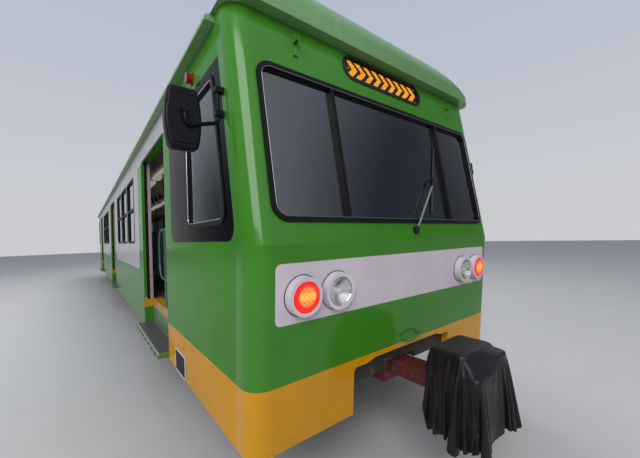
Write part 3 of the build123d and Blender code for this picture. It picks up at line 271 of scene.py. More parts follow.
def make_weave():
    """Crossed threads: a height for the bump and a mask of the hollows between them."""
    tree, t, given, out = new_group(
        "weave", [("Position", "v"), ("Threads", "f")], [("Height", "f"), ("Hollow", "f")])
    x, y, z = t.split(given["Position"])
    turn = t.times(given["Threads"], math.tau)
    warp = t.math("SINE", t.times(t.plus(x, z), turn))
    weft = t.math("SINE", t.times(t.minus(y, z), turn))
    height = t.remap(t.times(warp, weft), -1.0, 1.0, 0.0, 1.0)
    t.put(out["Height"], height)
    t.put(out["Hollow"], t.step(height, 0.35, 0.05))
    return tree


def make_rust():
    """Rust that blooms in patches with a darker edge."""
    tree, t, given, out = new_group(
        "rust", [("Position", "v"), ("Color", "c"), ("Amount", "f"), ("Scale", "f")], [("Color", "c"), ("Mask", "f")])
    field = t.noise(given["Position"], given["Scale"], 5.0, 0.65)
    start_at = t.minus(0.64, t.times(given["Amount"], 0.28))
    mask = t.step(field, start_at, t.plus(start_at, 0.12))
    rim = t.minus(t.step(field, t.minus(start_at, 0.03), start_at), mask)
    tone = t.mix(t.noise(given["Position"], 160.0, 3.0, 0.6), srgb(74, 42, 28), srgb(122, 74, 42))
    color = t.mix(t.times(mask, 0.85), given["Color"], tone)
    t.put(out["Color"], t.mix(t.times(t.math("MAXIMUM", rim, 0.0), 0.4), color, srgb(40, 28, 22)))
    t.put(out["Mask"], mask)
    return tree


GREEN = srgb(60, 126, 32)
YELLOW = srgb(202, 142, 6)
BAND = srgb(202, 191, 200)
LINING = srgb(160, 144, 146)
CEILING = srgb(198, 196, 188)
PANEL = srgb(178, 178, 184)
BLACK = srgb(8, 8, 10)


def make_livery():
    """The body's colours by place: green, a yellow skirt, the front band and the pale side panels."""
    tree, t, given, out = new_group("livery", [("Position", "v")], [("Color", "c"), ("Gloss", "f")])
    x, y, z = t.split(given["Position"])
    height = t.minus(z, RAIL)
    side = t.above(t.off(y), HALF - 0.016, 0.004)

    def rounded(u, v, half_u, half_v, radius, soft=0.002):
        return t.group(rounded_rect, U=u, V=v, Half_U=half_u, Half_V=half_v, Radius=radius, Soft=soft)["Mask"]

    color = t.mix(t.noise(given["Position"], 0.9, 2.0, 0.5), GREEN, shade_of(GREEN, 0.93))
    # pale panels along the saloon, with green left beside each doorway, and a pale band over the doorways
    along = t.minus(t.math("PINGPONG", x, DOOR_PITCH / 2), DOOR_PITCH / 2)
    panel = rounded(along, t.minus(height, PANEL_MIDDLE), PANEL_HALF_LENGTH, PANEL_HALF_HEIGHT, CORNER_RADIUS)
    panel = t.times(panel, t.below(x, PANEL_FRONT_X, 0.05))
    lintel = t.times(t.above(height, LINTEL_FROM), t.below(x, LINTEL_FRONT_X))
    pale = t.times(t.any_of(panel, lintel), side)
    color = t.mix(pale, color, PANEL)
    # yellow skirt from the first doorway forward
    color = t.mix(t.all_of(t.above(x, SKIRT_REAR_X), t.below(height, SKIRT_TOP)), color, YELLOW)
    # step wells: yellow sill edge over green
    inside = t.below(t.off(y), HALF - 0.006)
    well = t.all_of(inside, t.band(height, WELL_FROM, WELL_TO), t.below(x, WELL_FRONT_X, 0.05))
    color = t.mix(well, color, YELLOW)
    # front band with round corners
    band = rounded(y, t.minus(height, BAND_MIDDLE), BAND_HALF_WIDTH, BAND_HALF_HEIGHT, BAND_CORNER, 0.0015)
    band = t.times(t.above(x, FRONT_FACE_X, 0.01), band)
    color = t.mix(band, color, BAND)
    # black surround of the cab side window, leaning with the front
    lean = t.times(t.minus(height, WAIST_Z - RAIL), UPPER_RAKE)
    fore = t.plus(t.minus(x, CREASE_X), lean)
    middle = t.minus(height, SURROUND_MIDDLE)
    front_part = rounded(t.minus(fore, FRONT_PART_MIDDLE), middle, FRONT_PART_HALF, SURROUND_HALF, CORNER_RADIUS)
    rear_part = rounded(t.minus(x, CREASE_X + REAR_PART_MIDDLE), middle, REAR_PART_HALF, SURROUND_HALF,
                        CORNER_RADIUS)
    surround = t.all_of(
        t.any_of(front_part, rear_part), t.above(x, CREASE_X + SURROUND_REAR), t.below(fore, SURROUND_FRONT),
        t.above(height, SURROUND_FROM), t.below(height, SURROUND_TO, 0.0025), side, t.above(x, 6.925, 0.025))
    t.put(out["Color"], t.mix(surround, color, BLACK))
    t.put(out["Gloss"], t.plus(0.13, t.plus(t.times(pale, 0.12), t.times(band, 0.16))))
    return tree


grime = make_grime()
rounded_rect = make_rounded_rect()
weave = make_weave()
rust = make_rust()
livery = make_livery()


# ---------------------------------------------------------------- materials
class Finish(Shades):
    """A new material with one Principled shader, and short calls that fill it."""

    def __init__(self, name):
        self.material = bpy.data.materials.new(name)
        self.material.use_nodes = True
        super().__init__(self.material.node_tree)
        self.tree.nodes.clear()
        self.shader = self.node("ShaderNodeBsdfPrincipled")
        self.output = self.node("ShaderNodeOutputMaterial", {0: self.shader.outputs[0]})
        coordinates = self.node("ShaderNodeTexCoord").outputs
        self.place = coordinates["Object"]
        self.facing = coordinates["Normal"]

    def give(self, socket, value):
        """Fill one of the shader's own inputs."""
        self.put(self.shader.inputs[socket], value)

    def worn(self, color, rough, **dirt):
        """Give the shader a colour and a roughness, both with road dirt over them."""
        dirty = self.group(grime, Position=self.place, Color=color, **dirt)
        self.give("Base Color", dirty["Color"])
        self.give("Roughness", self.plus(rough, dirty["Rough"], clamp=True))


def coach_paint_material(name, specular, coat):
    """Glossy coach paint in the livery's colours, with orange peel, faint panel waves and road dirt."""
    t = Finish(name)
    colors = t.group(livery, Position=t.place)
    x, y, _ = t.split(t.place)
    # the rear end's face towards the saloon is lined like its walls
    inside = t.all_of(t.step(t.split(t.facing)[0], 0.4, 0.6), t.step(x, -8.3, -8.5),
                      t.below(t.off(y), INNER_WALL_Y, 0.005))
    streaks = t.remap(t.step(x, 8.42, 8.5), 0.0, 1.0, 0.16, 0.03)
    t.worn(t.mix(inside, colors["Color"], LINING), colors["Gloss"], Dust=0.10, Streaks=streaks, Low=0.45, High=1.3)
    t.give("Specular IOR Level", specular)
    t.give("Coat Weight", coat)
    t.give("Coat Roughness", 0.05)
    waves = t.bump(t.noise(t.place, 1.7, 2.0, 0.4), 0.3, 0.010)
    t.give("Normal", t.bump(t.noise(t.place, 260.0, 2.0, 0.5), 0.1, 0.0005, waves))
    return t.material


def enamel(name, color, dust=0.1, streaks=0.12, roughness=0.22):
    """Smooth enamel over cast or bent metal, in one colour, a little dirty."""
    t = Finish(name)
    base = t.blend(t.noise(t.place, 6.0, 3.0, 0.5), color, shade_of(color, 0.88))
    t.worn(base, roughness, Dust=dust, Streaks=streaks, Low=0.4, High=1.5)
    t.give("Coat Weight", 0.3)
    t.give("Coat Roughness", 0.08)
    t.give("Normal", t.bump(t.noise(t.place, 220.0, 2.0, 0.5), 0.15, 0.0006))
    return t.material


def roof_paint_material():
    """Weathered roof paint with welded cross seams, soot along the middle and streaks; pale on the saloon's ceiling.
    Its light green is faded paint with a painted sky reflection in it.
    """
    t = Finish("roof_paint")
    x, y, _ = t.split(t.place)
    # a light green: faded paint, made lighter still as a painted reflection of the sky
    paint = t.mix(t.noise(t.place, 1.6, 4.0, 0.6), srgb(92, 138, 78), srgb(112, 152, 100))
    soot = t.times(t.step(t.off(y), 0.9, 0.1), t.step(x, -1.5, -5.5))
    soot = t.times(soot, t.remap(t.noise(t.place, 5.0, 4.0, 0.6), 0.3, 0.7, 0.2, 0.65))
    paint = t.mix(soot, paint, srgb(62, 60, 54))
    ceiling = t.all_of(t.step(t.split(t.facing)[2], -0.15, -0.35), t.below(t.off(y), 1.25, 0.01),
                       t.step(x, 8.45, 8.40), t.step(x, -8.70, -8.66))
    t.worn(t.mix(ceiling, paint, CEILING), 0.3, Dust=0.0, Streaks=0.3, Low=0.0, High=1.0)
    t.give("Coat Weight", 0.35)
    t.give("Coat Roughness", 0.10)
    seam = t.off(t.minus(t.math("PINGPONG", x, ROOF_SHEET), ROOF_SHEET / 2))
    dents = t.bump(t.noise(t.place, 2.4, 2.0, 0.4), 0.4, 0.012)
    t.give("Normal", t.bump(t.step(seam, 0.012, 0.0), 0.5, 0.003, dents))
    return t.material


def painted_steel(name, color, roughness, dust, rusty, scale=30.0, metallic=0.0):
    """Plain painted or bare steel with chipped, dusty and rusty patches."""
    t = Finish(name)
    tone = t.noise(t.place, scale, 4.0, 0.6)
    base = t.blend(tone, color, shade_of(color, 0.62))
    rusted = t.group(rust, Position=t.place, Color=base, Amount=rusty, Scale=scale * 0.35)
    rough = t.remap(tone, 0.3, 0.7, roughness - 0.08, roughness + 0.1)
    t.worn(rusted["Color"], rough, Dust=dust, Streaks=0.1, Low=0.0, High=1.2)
    if metallic:
        t.give("Metallic", t.remap(rusted["Mask"], 0.0, 1.0, metallic, 0.1))
    t.give("Normal", t.bump(t.plus(tone, t.times(rusted["Mask"], 0.6)), 0.3, 0.002))
    return t.material


def wiper_material():
    """The wiper: a bare metal arm between a black boss and a black blade."""
    t = Finish("wiper_metal")
    _, y, z = t.split(t.place)
    along_y, along_z = WIPER_ELBOW[0] - WIPER_PIVOT[0], WIPER_ELBOW[1] - WIPER_PIVOT[1]
    reach = math.hypot(along_y, along_z)
    from_y, from_z = t.minus(y, WIPER_PIVOT[0]), t.minus(z, WIPER_PIVOT[1])
    beside = t.off(t.minus(t.times(from_y, along_z / reach), t.times(from_z, along_y / reach)))
    past_boss = t.step(t.length(from_y, from_z), 0.034, 0.037)
    arm = t.all_of(past_boss, t.step(beside, 0.0125, 0.0105), t.step(from_z, along_z * 0.86, along_z * 0.82))
    grain = t.noise(t.place, 90.0, 3.0, 0.6)
    metal = t.blend(grain, srgb(158, 156, 158), srgb(118, 114, 116), 0.35)
    t.give("Base Color", t.mix(arm, srgb(13, 13, 15), metal))
    t.give("Metallic", t.times(arm, 0.5))
    t.give("Roughness", t.remap(grain, 0.3, 0.7, 0.3, 0.5))
    t.give("Normal", t.bump(grain, 0.1, 0.0005))
    return t.material


def wheel_steel_material():
    """Rusty wheels and axles, with the tread and flange polished bright by the rails."""
    t = Finish("wheel_steel")
    x, _, z = t.split(t.place)
    from_bogie = t.off(t.minus(t.off(x), BOGIE_X))
    from_axle = t.length(t.minus(from_bogie, AXLE_STEP), t.minus(z, AXLE_Z))
    tread = t.step(from_axle, WHEEL_RADIUS - 0.010, WHEEL_RADIUS - 0.004)
    tone = t.noise(t.place, 24.0, 4.0, 0.6)
    dull = t.blend(tone, srgb(92, 76, 64), srgb(58, 48, 42))
    rusted = t.group(rust, Position=t.place, Color=dull, Amount=0.6, Scale=8.0)
    dirt = t.group(grime, Position=t.place, Color=rusted["Color"], Dust=0.35, Streaks=0.0, Low=0.0, High=0.9)
    polished = t.mix(tone, srgb(168, 166, 164), srgb(134, 130, 126))
    t.give("Base Color", t.mix(tread, dirt["Color"], polished))
    t.give("Metallic", t.remap(tread, 0.0, 1.0, 0.25, 0.95))
    t.give("Roughness", t.plus(t.remap(tread, 0.0, 1.0, 0.62, 0.2), t.times(t.minus(tone, 0.5), 0.2)))
    rings = t.times(t.math("SINE", t.times(from_axle, 900.0)), 0.2)
    t.give("Normal", t.bump(t.plus(tone, rings), 0.25, 0.002))
    return t.material


def collector_material():
    """Red painted collector frame; its insulators on the roof are brown glazed porcelain."""
    t = Finish("collector_red")
    porcelain = t.below(t.split(t.place)[2], INSULATOR_TOP, 0.005)
    tone = t.noise(t.place, 40.0, 4.0, 0.6)
    red = t.blend(tone, srgb(126, 42, 32), srgb(88, 34, 28))
    rusted = t.group(rust, Position=t.place, Color=red, Amount=0.25, Scale=14.0)
    glaze = t.mix(tone, srgb(84, 44, 26), srgb(62, 32, 20))
    t.give("Base Color", t.mix(porcelain, rusted["Color"], glaze))
    t.give("Roughness", t.remap(porcelain, 0.0, 1.0, 0.46, 0.1))
    t.give("Normal", t.bump(tone, 0.2, 0.0012))
    return t.material


def collector_strip_material():
    """The contact bow: grey metal horns with dark carbon strips on top, scored across."""
    t = Finish("collector_strip")
    _, y, z = t.split(t.place)
    carbon = t.times(t.below(t.off(y), 0.51, 0.01), t.above(z, 3.803, 0.003))
    scored = t.noise(t.stretch(t.place, (240.0, 4.0, 1.0)), 1.0, 3.0, 0.6)
    metal = t.mix(t.noise(t.place, 30.0, 4.0, 0.6), srgb(120, 116, 110), srgb(84, 80, 76))
    t.give("Base Color", t.mix(carbon, metal, t.mix(scored, srgb(30, 30, 32), srgb(58, 58, 60))))
    t.give("Metallic", t.remap(carbon, 0.0, 1.0, 0.7, 0.1))
    t.give("Roughness", t.remap(scored, 0.3, 0.7, 0.35, 0.55))
    t.give("Normal", t.bump(scored, 0.3, 0.001))
    return t.material


def plastic(name, color, roughness, grain, dust, strength=0.2, specular=0.5):
    """Moulded plastic or rubber with a fine grain."""
    t = Finish(name)
    grains = t.noise(t.place, grain, 2.0, 0.5)
    paler = tuple(min(1.0, v * 1.25 + 0.002) for v in color)
    base = t.blend(t.noise(t.place, 9.0, 3.0, 0.6), color, paler)
    rough = t.remap(grains, 0.3, 0.7, roughness - 0.05, roughness + 0.08)
    t.worn(base, rough, Dust=dust, Streaks=0.05, Low=0.4, High=3.4)
    t.give("Specular IOR Level", specular)
    t.give("Normal", t.bump(grains, strength, 0.0005))
    return t.material


def glass(name, tint, dust, ribs=0.0, coat=0.0, clear=0.94):
    """Tinted glass with a little dust, ribbed up and down where ribs is given."""
    t = Finish(name)
    film = t.noise(t.place, 3.0, 5.0, 0.65)
    dusty = t.times(t.remap(film, 0.45, 0.8, 0.0, 1.0), dust)
    t.give("Base Color", t.mix(dusty, tint, srgb(150, 146, 138)))
    t.give("Roughness", t.remap(film, 0.4, 0.8, 0.0, 0.03))
    t.give("Transmission Weight", clear)
    t.give("IOR", 1.5)
    t.give("Specular IOR Level", 0.8)
    t.give("Coat Weight", coat)
    t.give("Coat Roughness", 0.01)
    t.give("Coat IOR", 1.5 + 0.35 * coat)
    if ribs:
        t.give("Normal", t.bump(t.bands(t.place, ribs, "Y"), 0.2, 0.001))
    return t.material


def mirror_metal(name, color, roughness):
    """Polished metal with faint scratches."""
    t = Finish(name)
    scratch = t.noise(t.stretch(t.place, (1.0, 40.0, 1.0)), 60.0, 3.0, 0.6)
    t.give("Base Color", t.mix(t.remap(scratch, 0.4, 0.7, 0.0, 0.5), color, shade_of(color, 0.75)))
    t.give("Metallic", 1.0)
    t.give("Roughness", t.remap(scratch, 0.3, 0.7, roughness, roughness + 0.14))
    return t.material


def tarpaulin_material():
    """The coupler's black coated cover: a fine weave under a dull shine, paler where it creases."""
    t = Finish("tarpaulin")
    threads = t.group(weave, Position=t.place, Threads=420.0)
    cloud = t.noise(t.place, 7.0, 5.0, 0.65)
    crease = t.noise(t.stretch(t.place, (1.0, 1.6, 0.7)), 26.0, 5.0, 0.7)
    base = t.blend(cloud, srgb(8, 5, 9), srgb(20, 14, 20), 0.35)
    base = t.mix(t.times(t.step(crease, 0.60, 0.76), 0.25), base, srgb(62, 46, 60))
    # the hollows between the threads are darkened: painted shade
    t.give("Base Color", t.mix(t.times(threads["Hollow"], 0.25), base, srgb(4, 4, 5)))
    t.give("Roughness", t.remap(crease, 0.35, 0.7, 0.30, 0.5))
    t.give("Specular IOR Level", 0.3)
    t.give("Sheen Weight", 0.04)
    t.give("Normal", t.bump(threads["Height"], 0.15, 0.0003, t.bump(crease, 0.55, 0.006)))
    return t.material


def leathercloth_material():
    """Blue leathercloth on the seats: pebbled grain, paler where it is rubbed."""
    t = Finish("leathercloth")
    pebbles = t.cells(t.place, 520.0)
    cloud = t.noise(t.place, 5.0, 4.0, 0.6)
    base = t.blend(cloud, srgb(30, 52, 96), srgb(44, 68, 112), 0.35)
    t.give("Base Color", t.mix(t.times(t.step(pebbles, 0.1, 0.5), 0.35), base, srgb(18, 30, 60)))
    t.give("Roughness", t.remap(cloud, 0.3, 0.7, 0.38, 0.56))
    t.give("Normal", t.bump(pebbles, 0.4, 0.0006))
    return t.material


def floor_sheet_material():
    """Flecked floor sheet, with a ribbed yellow sill plate inside each doorway."""
    t = Finish("floor_sheet")
    x, y, _ = t.split(t.place)
    fleck = t.step(t.cells(t.place, 90.0), 0.25, 0.1)
    sheet = t.mix(t.noise(t.place, 3.0, 4.0, 0.6), srgb(84, 80, 78), srgb(104, 98, 92))
    sheet = t.mix(t.times(fleck, 0.5), sheet, srgb(140, 134, 126))
    doorway = t.times(t.below(t.math("PINGPONG", x, DOOR_PITCH / 2), HALF_DOOR), t.below(t.off(x), 7.45, 0.05))
    reach = t.off(y)
    plate = t.times(doorway, t.above(reach, 1.08))
    joint = t.times(doorway, t.band(reach, 1.070, 1.082, 0.002))
    color = t.mix(joint, t.mix(plate, sheet, YELLOW), srgb(26, 24, 22))
    t.worn(color, t.remap(plate, 0.0, 1.0, 0.55, 0.32), Dust=0.25, Streaks=0.0, Low=0.0, High=1.2)
    ribs = t.times(plate, t.bands(t.place, 22.0, "Y"))
    t.give("Normal", t.bump(ribs, 0.5, 0.002, t.bump(t.noise(t.place, 90.0, 2.0, 0.5), 0.3, 0.001)))
    return t.material


def step_alloy_material():
    """Worn grey grooved treads with painted shade in the grooves, bright nosings, green ends, the yellow sill edge and
    the green riser.
    """
    t = Finish("step_alloy")
    x, y, z = t.split(t.place)
    height = t.minus(z, RAIL)
    reach = t.off(y)
    scratch = t.noise(t.stretch(t.place, (6.0, 60.0, 60.0)), 8.0, 4.0, 0.6)
    tread = t.blend(scratch, srgb(150, 150, 160), srgb(112, 112, 124))
    # the groove floors are coloured near black: painted shade in the grooves
    tread = t.mix(t.times(t.below(height, GROOVE_FLOOR, 0.001), 0.95), tread, srgb(18, 18, 22))
    riser = t.mix(t.above(height, 0.765, 0.003), GREEN, YELLOW)
    upright = t.all_of(t.below(reach, 1.2005, 0.0025), t.above(height, TREAD_TOP))
    color = t.mix(upright, tread, riser)
    end = t.above(t.math("PINGPONG", x, DOOR_PITCH / 2), HALF_DOOR - 0.020)
    green_part = t.times(t.any_of(end, t.below(height, 0.550)), t.minus(1.0, upright))
    color = t.mix(green_part, color, GREEN)
    nosing = t.times(t.above(reach, 1.386), t.above(height, 0.550))
    color = t.mix(nosing, color, srgb(196, 196, 200))
    t.worn(color, 0.36, Dust=0.3, Streaks=0.15, Low=0.4, High=1.1)
    bare = t.minus(1.0, t.any_of(upright, green_part))
    t.give("Metallic", t.times(bare, 0.5))
    t.give("Normal", t.bump(scratch, 0.25, 0.001))
    return t.material


def red_lens_material():
    """A ribbed red lens with glowing dots in its middle; the side lamps stay unlit."""
    t = Finish("red_lens")
    x, y, z = t.split(t.place)
    radial_y = t.minus(t.off(y), TAIL_Y)
    radial_z = t.minus(z, LAMP_Z)
    distance = t.length(radial_y, radial_z)
    grid_y = t.math("SINE", t.times(radial_y, LENS_DOTS))
    grid_z = t.math("COSINE", t.times(radial_z, LENS_DOTS))
    dots = t.step(t.times(grid_y, grid_z), -0.25, 0.35)
    core = t.step(distance, 0.064, 0.046)
    rim = t.step(distance, 0.074, 0.084)
    row = t.step(t.off(radial_z), 0.026, 0.016)
    hot = t.times(core, t.plus(t.times(dots, 0.4), t.times(row, 0.45)))
    glow = t.plus(0.52, t.plus(t.times(core, 0.15), t.times(rim, 0.15)))
    front = t.step(x, 8.5, 8.55)
    t.give("Base Color", srgb(128, 12, 8))
    t.give("Roughness", 0.16)
    t.give("Coat Weight", 0.5)
    ember = t.mix(core, srgb(255, 26, 12), srgb(255, 112, 58))
    t.give("Emission Color", t.mix(hot, ember, srgb(255, 214, 84)))
    t.give("Emission Strength", t.times(t.times(glow, front), 1.5))
    rings = t.math("SINE", t.times(distance, 700.0))
    t.give("Normal", t.bump(t.plus(rings, dots), 0.3, 0.002))
    return t.material


def display_amber_material():
    """Amber diodes, each a little brighter or duller than the next."""
    t = Finish("display_amber")
    uneven = t.noise(t.place, 130.0, 1.0, 0.5)
    t.give("Base Color", srgb(120, 70, 10))
    t.give("Roughness", 0.3)
    t.give("Emission Color", t.mix(uneven, srgb(255, 150, 16), srgb(255, 186, 40)))
    t.give("Emission Strength", t.remap(uneven, 0.3, 0.7, 0.9, 1.9))
    return t.material


def diffuser_material():
    """Opal diffuser of the ceiling lamps, ribbed across, faintly lit."""
    t = Finish("lamp_diffuser")
    ribs = t.bands(t.place, 40.0, "X")
    t.give("Base Color", t.mix(ribs, srgb(232, 232, 226), srgb(214, 214, 208)))
    t.give("Roughness", 0.35)
    t.give("Emission Color", srgb(255, 246, 226))
    t.give("Emission Strength", 0.25)
    t.give("Normal", t.bump(ribs, 0.3, 0.001))
    return t.material


front_paint = coach_paint_material("front_paint", 0.28, 0.12)
side_paint = coach_paint_material("side_paint", 0.05, 0.02)
roof_paint = roof_paint_material()
lamp_enamel = enamel("lamp_enamel", srgb(212, 204, 212))
grab_enamel = enamel("grab_enamel", srgb(58, 92, 70), 0.05, 0.1, 0.3)
underframe_steel = painted_steel("underframe_steel", srgb(42, 40, 38), 0.7, 0.45, 0.35)
equipment_steel = painted_steel("equipment_steel", srgb(54, 53, 52), 0.6, 0.5, 0.2, 22.0)
bogie_steel = painted_steel("bogie_steel", srgb(46, 41, 37), 0.68, 0.55, 0.45, 26.0)
coupler_iron = painted_steel("coupler_iron", srgb(104, 30, 28), 0.5, 0.25, 0.4, 34.0, 0.1)
wiper_metal = wiper_material()
bolt_steel = painted_steel("bolt_steel", srgb(78, 72, 66), 0.5, 0.3, 0.4, 90.0, 0.5)
wheel_steel = wheel_steel_material()
collector_red = collector_material()
collector_strip = collector_strip_material()
rubber = plastic("window_rubber", srgb(12, 11, 14), 0.40, 500.0, 0.02, specular=0.16)
dark_case = plastic("display_case", srgb(12, 12, 14), 0.22, 300.0, 0.05, 0.05)
black_moulding = plastic("black_moulding", srgb(11, 11, 20), 0.34, 300.0, 0.02, 0.2, 0.14)
lining = plastic("lining_board", LINING, 0.35, 200.0, 0.05)
partition = plastic("partition_board", srgb(52, 62, 92), 0.4, 260.0, 0.02)
seat_shell = plastic("seat_shell", srgb(60, 76, 104), 0.38, 240.0, 0.02)
desk_shell = plastic("desk_shell", srgb(66, 70, 74), 0.45, 300.0, 0.02)
window_pane = glass("window_pane", srgb(80, 96, 106), 0.04, coat=0.5)
# the windscreen's glass is tinted darker than clear glass: painted shade for the dark cab behind it
screen_pane = glass("screen_pane", srgb(66, 78, 90), 0.02, coat=1.0)
lens_glass = glass("lens_glass", srgb(246, 246, 246), 0.0, 60.0, clear=1.0)
tarpaulin = tarpaulin_material()
leathercloth = leathercloth_material()
floor_sheet = floor_sheet_material()
step_alloy = step_alloy_material()
red_lens = red_lens_material()
display_amber = display_amber_material()
lamp_diffuser = diffuser_material()
reflector = mirror_metal("lamp_reflector", (0.9, 0.9, 0.9), 0.03)
mirror_glass = mirror_metal("mirror_glass", (0.82, 0.84, 0.86), 0.02)
bright_trim = mirror_metal("bright_trim", (0.78, 0.78, 0.8), 0.16)
screen_bead = mirror_metal("screen_bead", (0.26, 0.24, 0.26), 0.26)

# ---------------------------------------------------------------- materials on the CAD pieces
looks = {}
for material, nodes in (
        (front_paint, "front_end"), (roof_paint, "roof roof_ventilators"), (floor_sheet, "floor"),
        (lining, "side_linings"), (partition, "cab_bulkhead"), (rubber, "window_rubbers"),
        (window_pane, "window_glass"), (dark_case, "destination_display"), (lamp_enamel, "lamp_bezels"),
        (lens_glass, "headlamp_lenses"), (red_lens, "red_lamps"), (black_moulding, "mirrors skirt_vents"),
        (wiper_metal, "windscreen_wiper"), (step_alloy, "door_steps"), (grab_enamel, "doorway_posts grab_loops"),
        (leathercloth, "seat_cushions"), (seat_shell, "seat_frames cab_seat"), (desk_shell, "cab_desk"),
        (underframe_steel, "side_sills cross_beams bolsters"), (equipment_steel, "equipment_boxes"),
        (coupler_iron, "front_coupler rear_coupler"), (tarpaulin, "coupler_cover"),
        (collector_red, "pantograph_base pantograph_lower_arm pantograph_upper_arm"),
        (collector_strip, "pantograph_head")):
    looks.update(dict.fromkeys(nodes.split(), material))
DOORS = [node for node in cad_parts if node.startswith("door_") and node != "door_steps"]


def look_of(node):
    """The material of a CAD piece; what isn't in the list is painted body side."""
    if node.startswith("wheelset"):
        return wheel_steel
    if node.startswith("bogie"):
        return bogie_steel
    return looks.get(node, side_paint)


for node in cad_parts:
    obj = bpy.data.objects[node]
    obj.data.materials.clear()
    obj.data.materials.append(look_of(node))
for node in DOORS:
    leaf = bpy.data.objects[node].data
    leaf.materials.append(window_pane)
    side = -1 if "_right_" in node else 1
    for face in leaf.polygons:
        in_pane = all(abs(leaf.vertices[i].co.y - side * LEAF_Y) < PANE_HALF for i in face.vertices)
        face.material_index = 1 if in_pane else 0
panes = bpy.data.objects["window_glass"].data
panes.materials.append(screen_pane)
for face in panes.polygons:
    face.material_index = 1 if face.center.x > SCREEN_REAR_X and abs(face.center.y) < 1.2 else 0

# ---------------------------------------------------------------- camera
# fitted to the photograph: place in metres, turn in degrees, focal length and shift in the picture's dots
CAMERA_PLACE = (10.0576, -1.9466, 1.6843)
CAMERA_TURN = (37.9034, -0.1116, -1.6190)
FOCAL_LENGTH, SHIFT_UP, PICTURE_WIDTH, SENSOR_WIDTH = 304.10, 8.74, 640, 36.0
yaw, pitch, roll = (math.radians(angle) for angle in CAMERA_TURN)
forward = Vector((-math.cos(yaw) * math.cos(pitch), math.sin(yaw) * math.cos(pitch), math.sin(pitch)))
right = Vector((math.sin(yaw), math.cos(yaw), 0.0))
up = right.cross(forward)
tilted_right = math.cos(roll) * right + math.sin(roll) * up
tilted_up = -math.sin(roll) * right + math.cos(roll) * up
camera_data = bpy.data.cameras.new("camera")
camera_data.sensor_width = SENSOR_WIDTH
camera_data.lens = FOCAL_LENGTH / PICTURE_WIDTH * SENSOR_WIDTH
camera_data.shift_y = SHIFT_UP / PICTURE_WIDTH
camera_data.clip_end = 200.0
camera = bpy.data.objects.new("camera", camera_data)
basis = Matrix((tilted_right, tilted_up, -forward)).transposed().to_4x4()
camera.matrix_world = Matrix.Translation(Vector(CAMERA_PLACE)) @ basis
bpy.context.collection.objects.link(camera)
bpy.context.scene.camera = camera


# ---------------------------------------------------------------- making pieces
def piece(name, mesh, body, slot, *materials):
    """A finished piece: an object at the origin that rides on a body and takes the materials given; its slot is not
    used.
    """
    obj = bpy.data.objects.new(name, mesh)
    bpy.context.collection.objects.link(obj)
    for material in materials:
        mesh.materials.append(material)
    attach(obj, body)
    return obj


def shaded(mesh, smooth=True):
    """The same mesh with all its faces shaded smooth or flat."""
    for face in mesh.polygons:
        face.use_smooth = smooth
    return mesh


def mesh_of(name, work):
    """A mesh from a bmesh, which is freed."""
    mesh = bpy.data.meshes.new(name)
    work.to_mesh(mesh)
    work.free()
    return mesh


def mesh_from(name, build, smooth=False):
    """A mesh from a function that fills a bmesh; its faces are turned outwards."""
    work = bmesh.new()
    build(work)
    bmesh.ops.recalc_face_normals(work, faces=work.faces)
    return shaded(mesh_of(name, work), smooth)


def plain_mesh(obj):
    """The mesh of an object with its modifiers applied; the object is removed."""
    mesh = bpy.data.meshes.new_from_object(obj.evaluated_get(bpy.context.evaluated_depsgraph_get()))
    bpy.data.objects.remove(obj)
    return mesh


def set_all(owner, **values):
    """Set several of an owner's values at once."""
    for name, value in values.items():
        setattr(owner, name, value)


def bridge(work, rings):
    """Faces between each ring of vertices and the next."""
    for a, b in zip(rings, rings[1:]):
        for k in range(len(a)):
            n = (k + 1) % len(a)
            work.faces.new((a[k], a[n], b[n], b[k]))


def add_prism(work, outline, place, depth, bevel=0.0):
    """Extrude a flat outline of (u, v) by depth along w; place turns (u, v, w) into the car's frame."""
    rows = [[work.verts.new(place @ Vector((u, v, w))) for u, v in outline] for w in (0.0, depth)]
    count = len(outline)
    faces = [work.faces.new(rows[0]), work.faces.new(list(reversed(rows[1])))]
    for i in range(count):
        j = (i + 1) % count
        faces.append(work.faces.new((rows[0][i], rows[1][i], rows[1][j], rows[0][j])))
    if bevel:
        edges = list(faces[1].edges)
        bmesh.ops.bevel(work, geom=edges, offset=bevel, segments=2, profile=0.6, affect="EDGES")


def add_lathe(work, profile, place, segments, closed=False):
    """Turn a profile of (radius, w) round the w axis; points at radius 0 become poles."""
    rings = []
    for radius, w in profile:
        if radius == 0:
            rings.append([work.verts.new(place @ Vector((0, 0, w)))])
        else:
            rings.append([work.verts.new(place @ Vector((radius * math.cos(math.tau * k / segments),
                                                         radius * math.sin(math.tau * k / segments), w)))
                          for k in range(segments)])
    pairs = list(zip(rings, rings[1:])) + ([(rings[-1], rings[0])] if closed else [])
    for a, b in pairs:
        for k in range(segments):
            n = (k + 1) % segments
            corners = [a[k % len(a)], a[n % len(a)], b[n % len(b)], b[k % len(b)]]
            unique = [v for i, v in enumerate(corners) if v not in corners[:i]]
            work.faces.new(unique)


def rounded_outline(half_u, half_v, radius, steps=6):
    """A rectangle with round corners as a list of (u, v)."""
    points = []
    for quarter, (su, sv) in enumerate(((1, 1), (-1, 1), (-1, -1), (1, -1))):
        for k in range(steps + 1):
            angle = math.pi / 2 * (quarter + k / steps)
            points.append((su * (half_u - radius) + radius * math.cos(angle),
                           sv * (half_v - radius) + radius * math.sin(angle)))
    return points


def place_of(origin, outward, up_hint=(0, 0, 1)):
    """A frame whose w points outward and whose v points as nearly up as it can."""
    w = Vector(outward).normalized()
    u = Vector(up_hint).cross(w).normalized()
    v = w.cross(u)
    matrix = Matrix((u, v, w)).transposed().to_4x4()
    matrix.translation = Vector(origin)
    return matrix


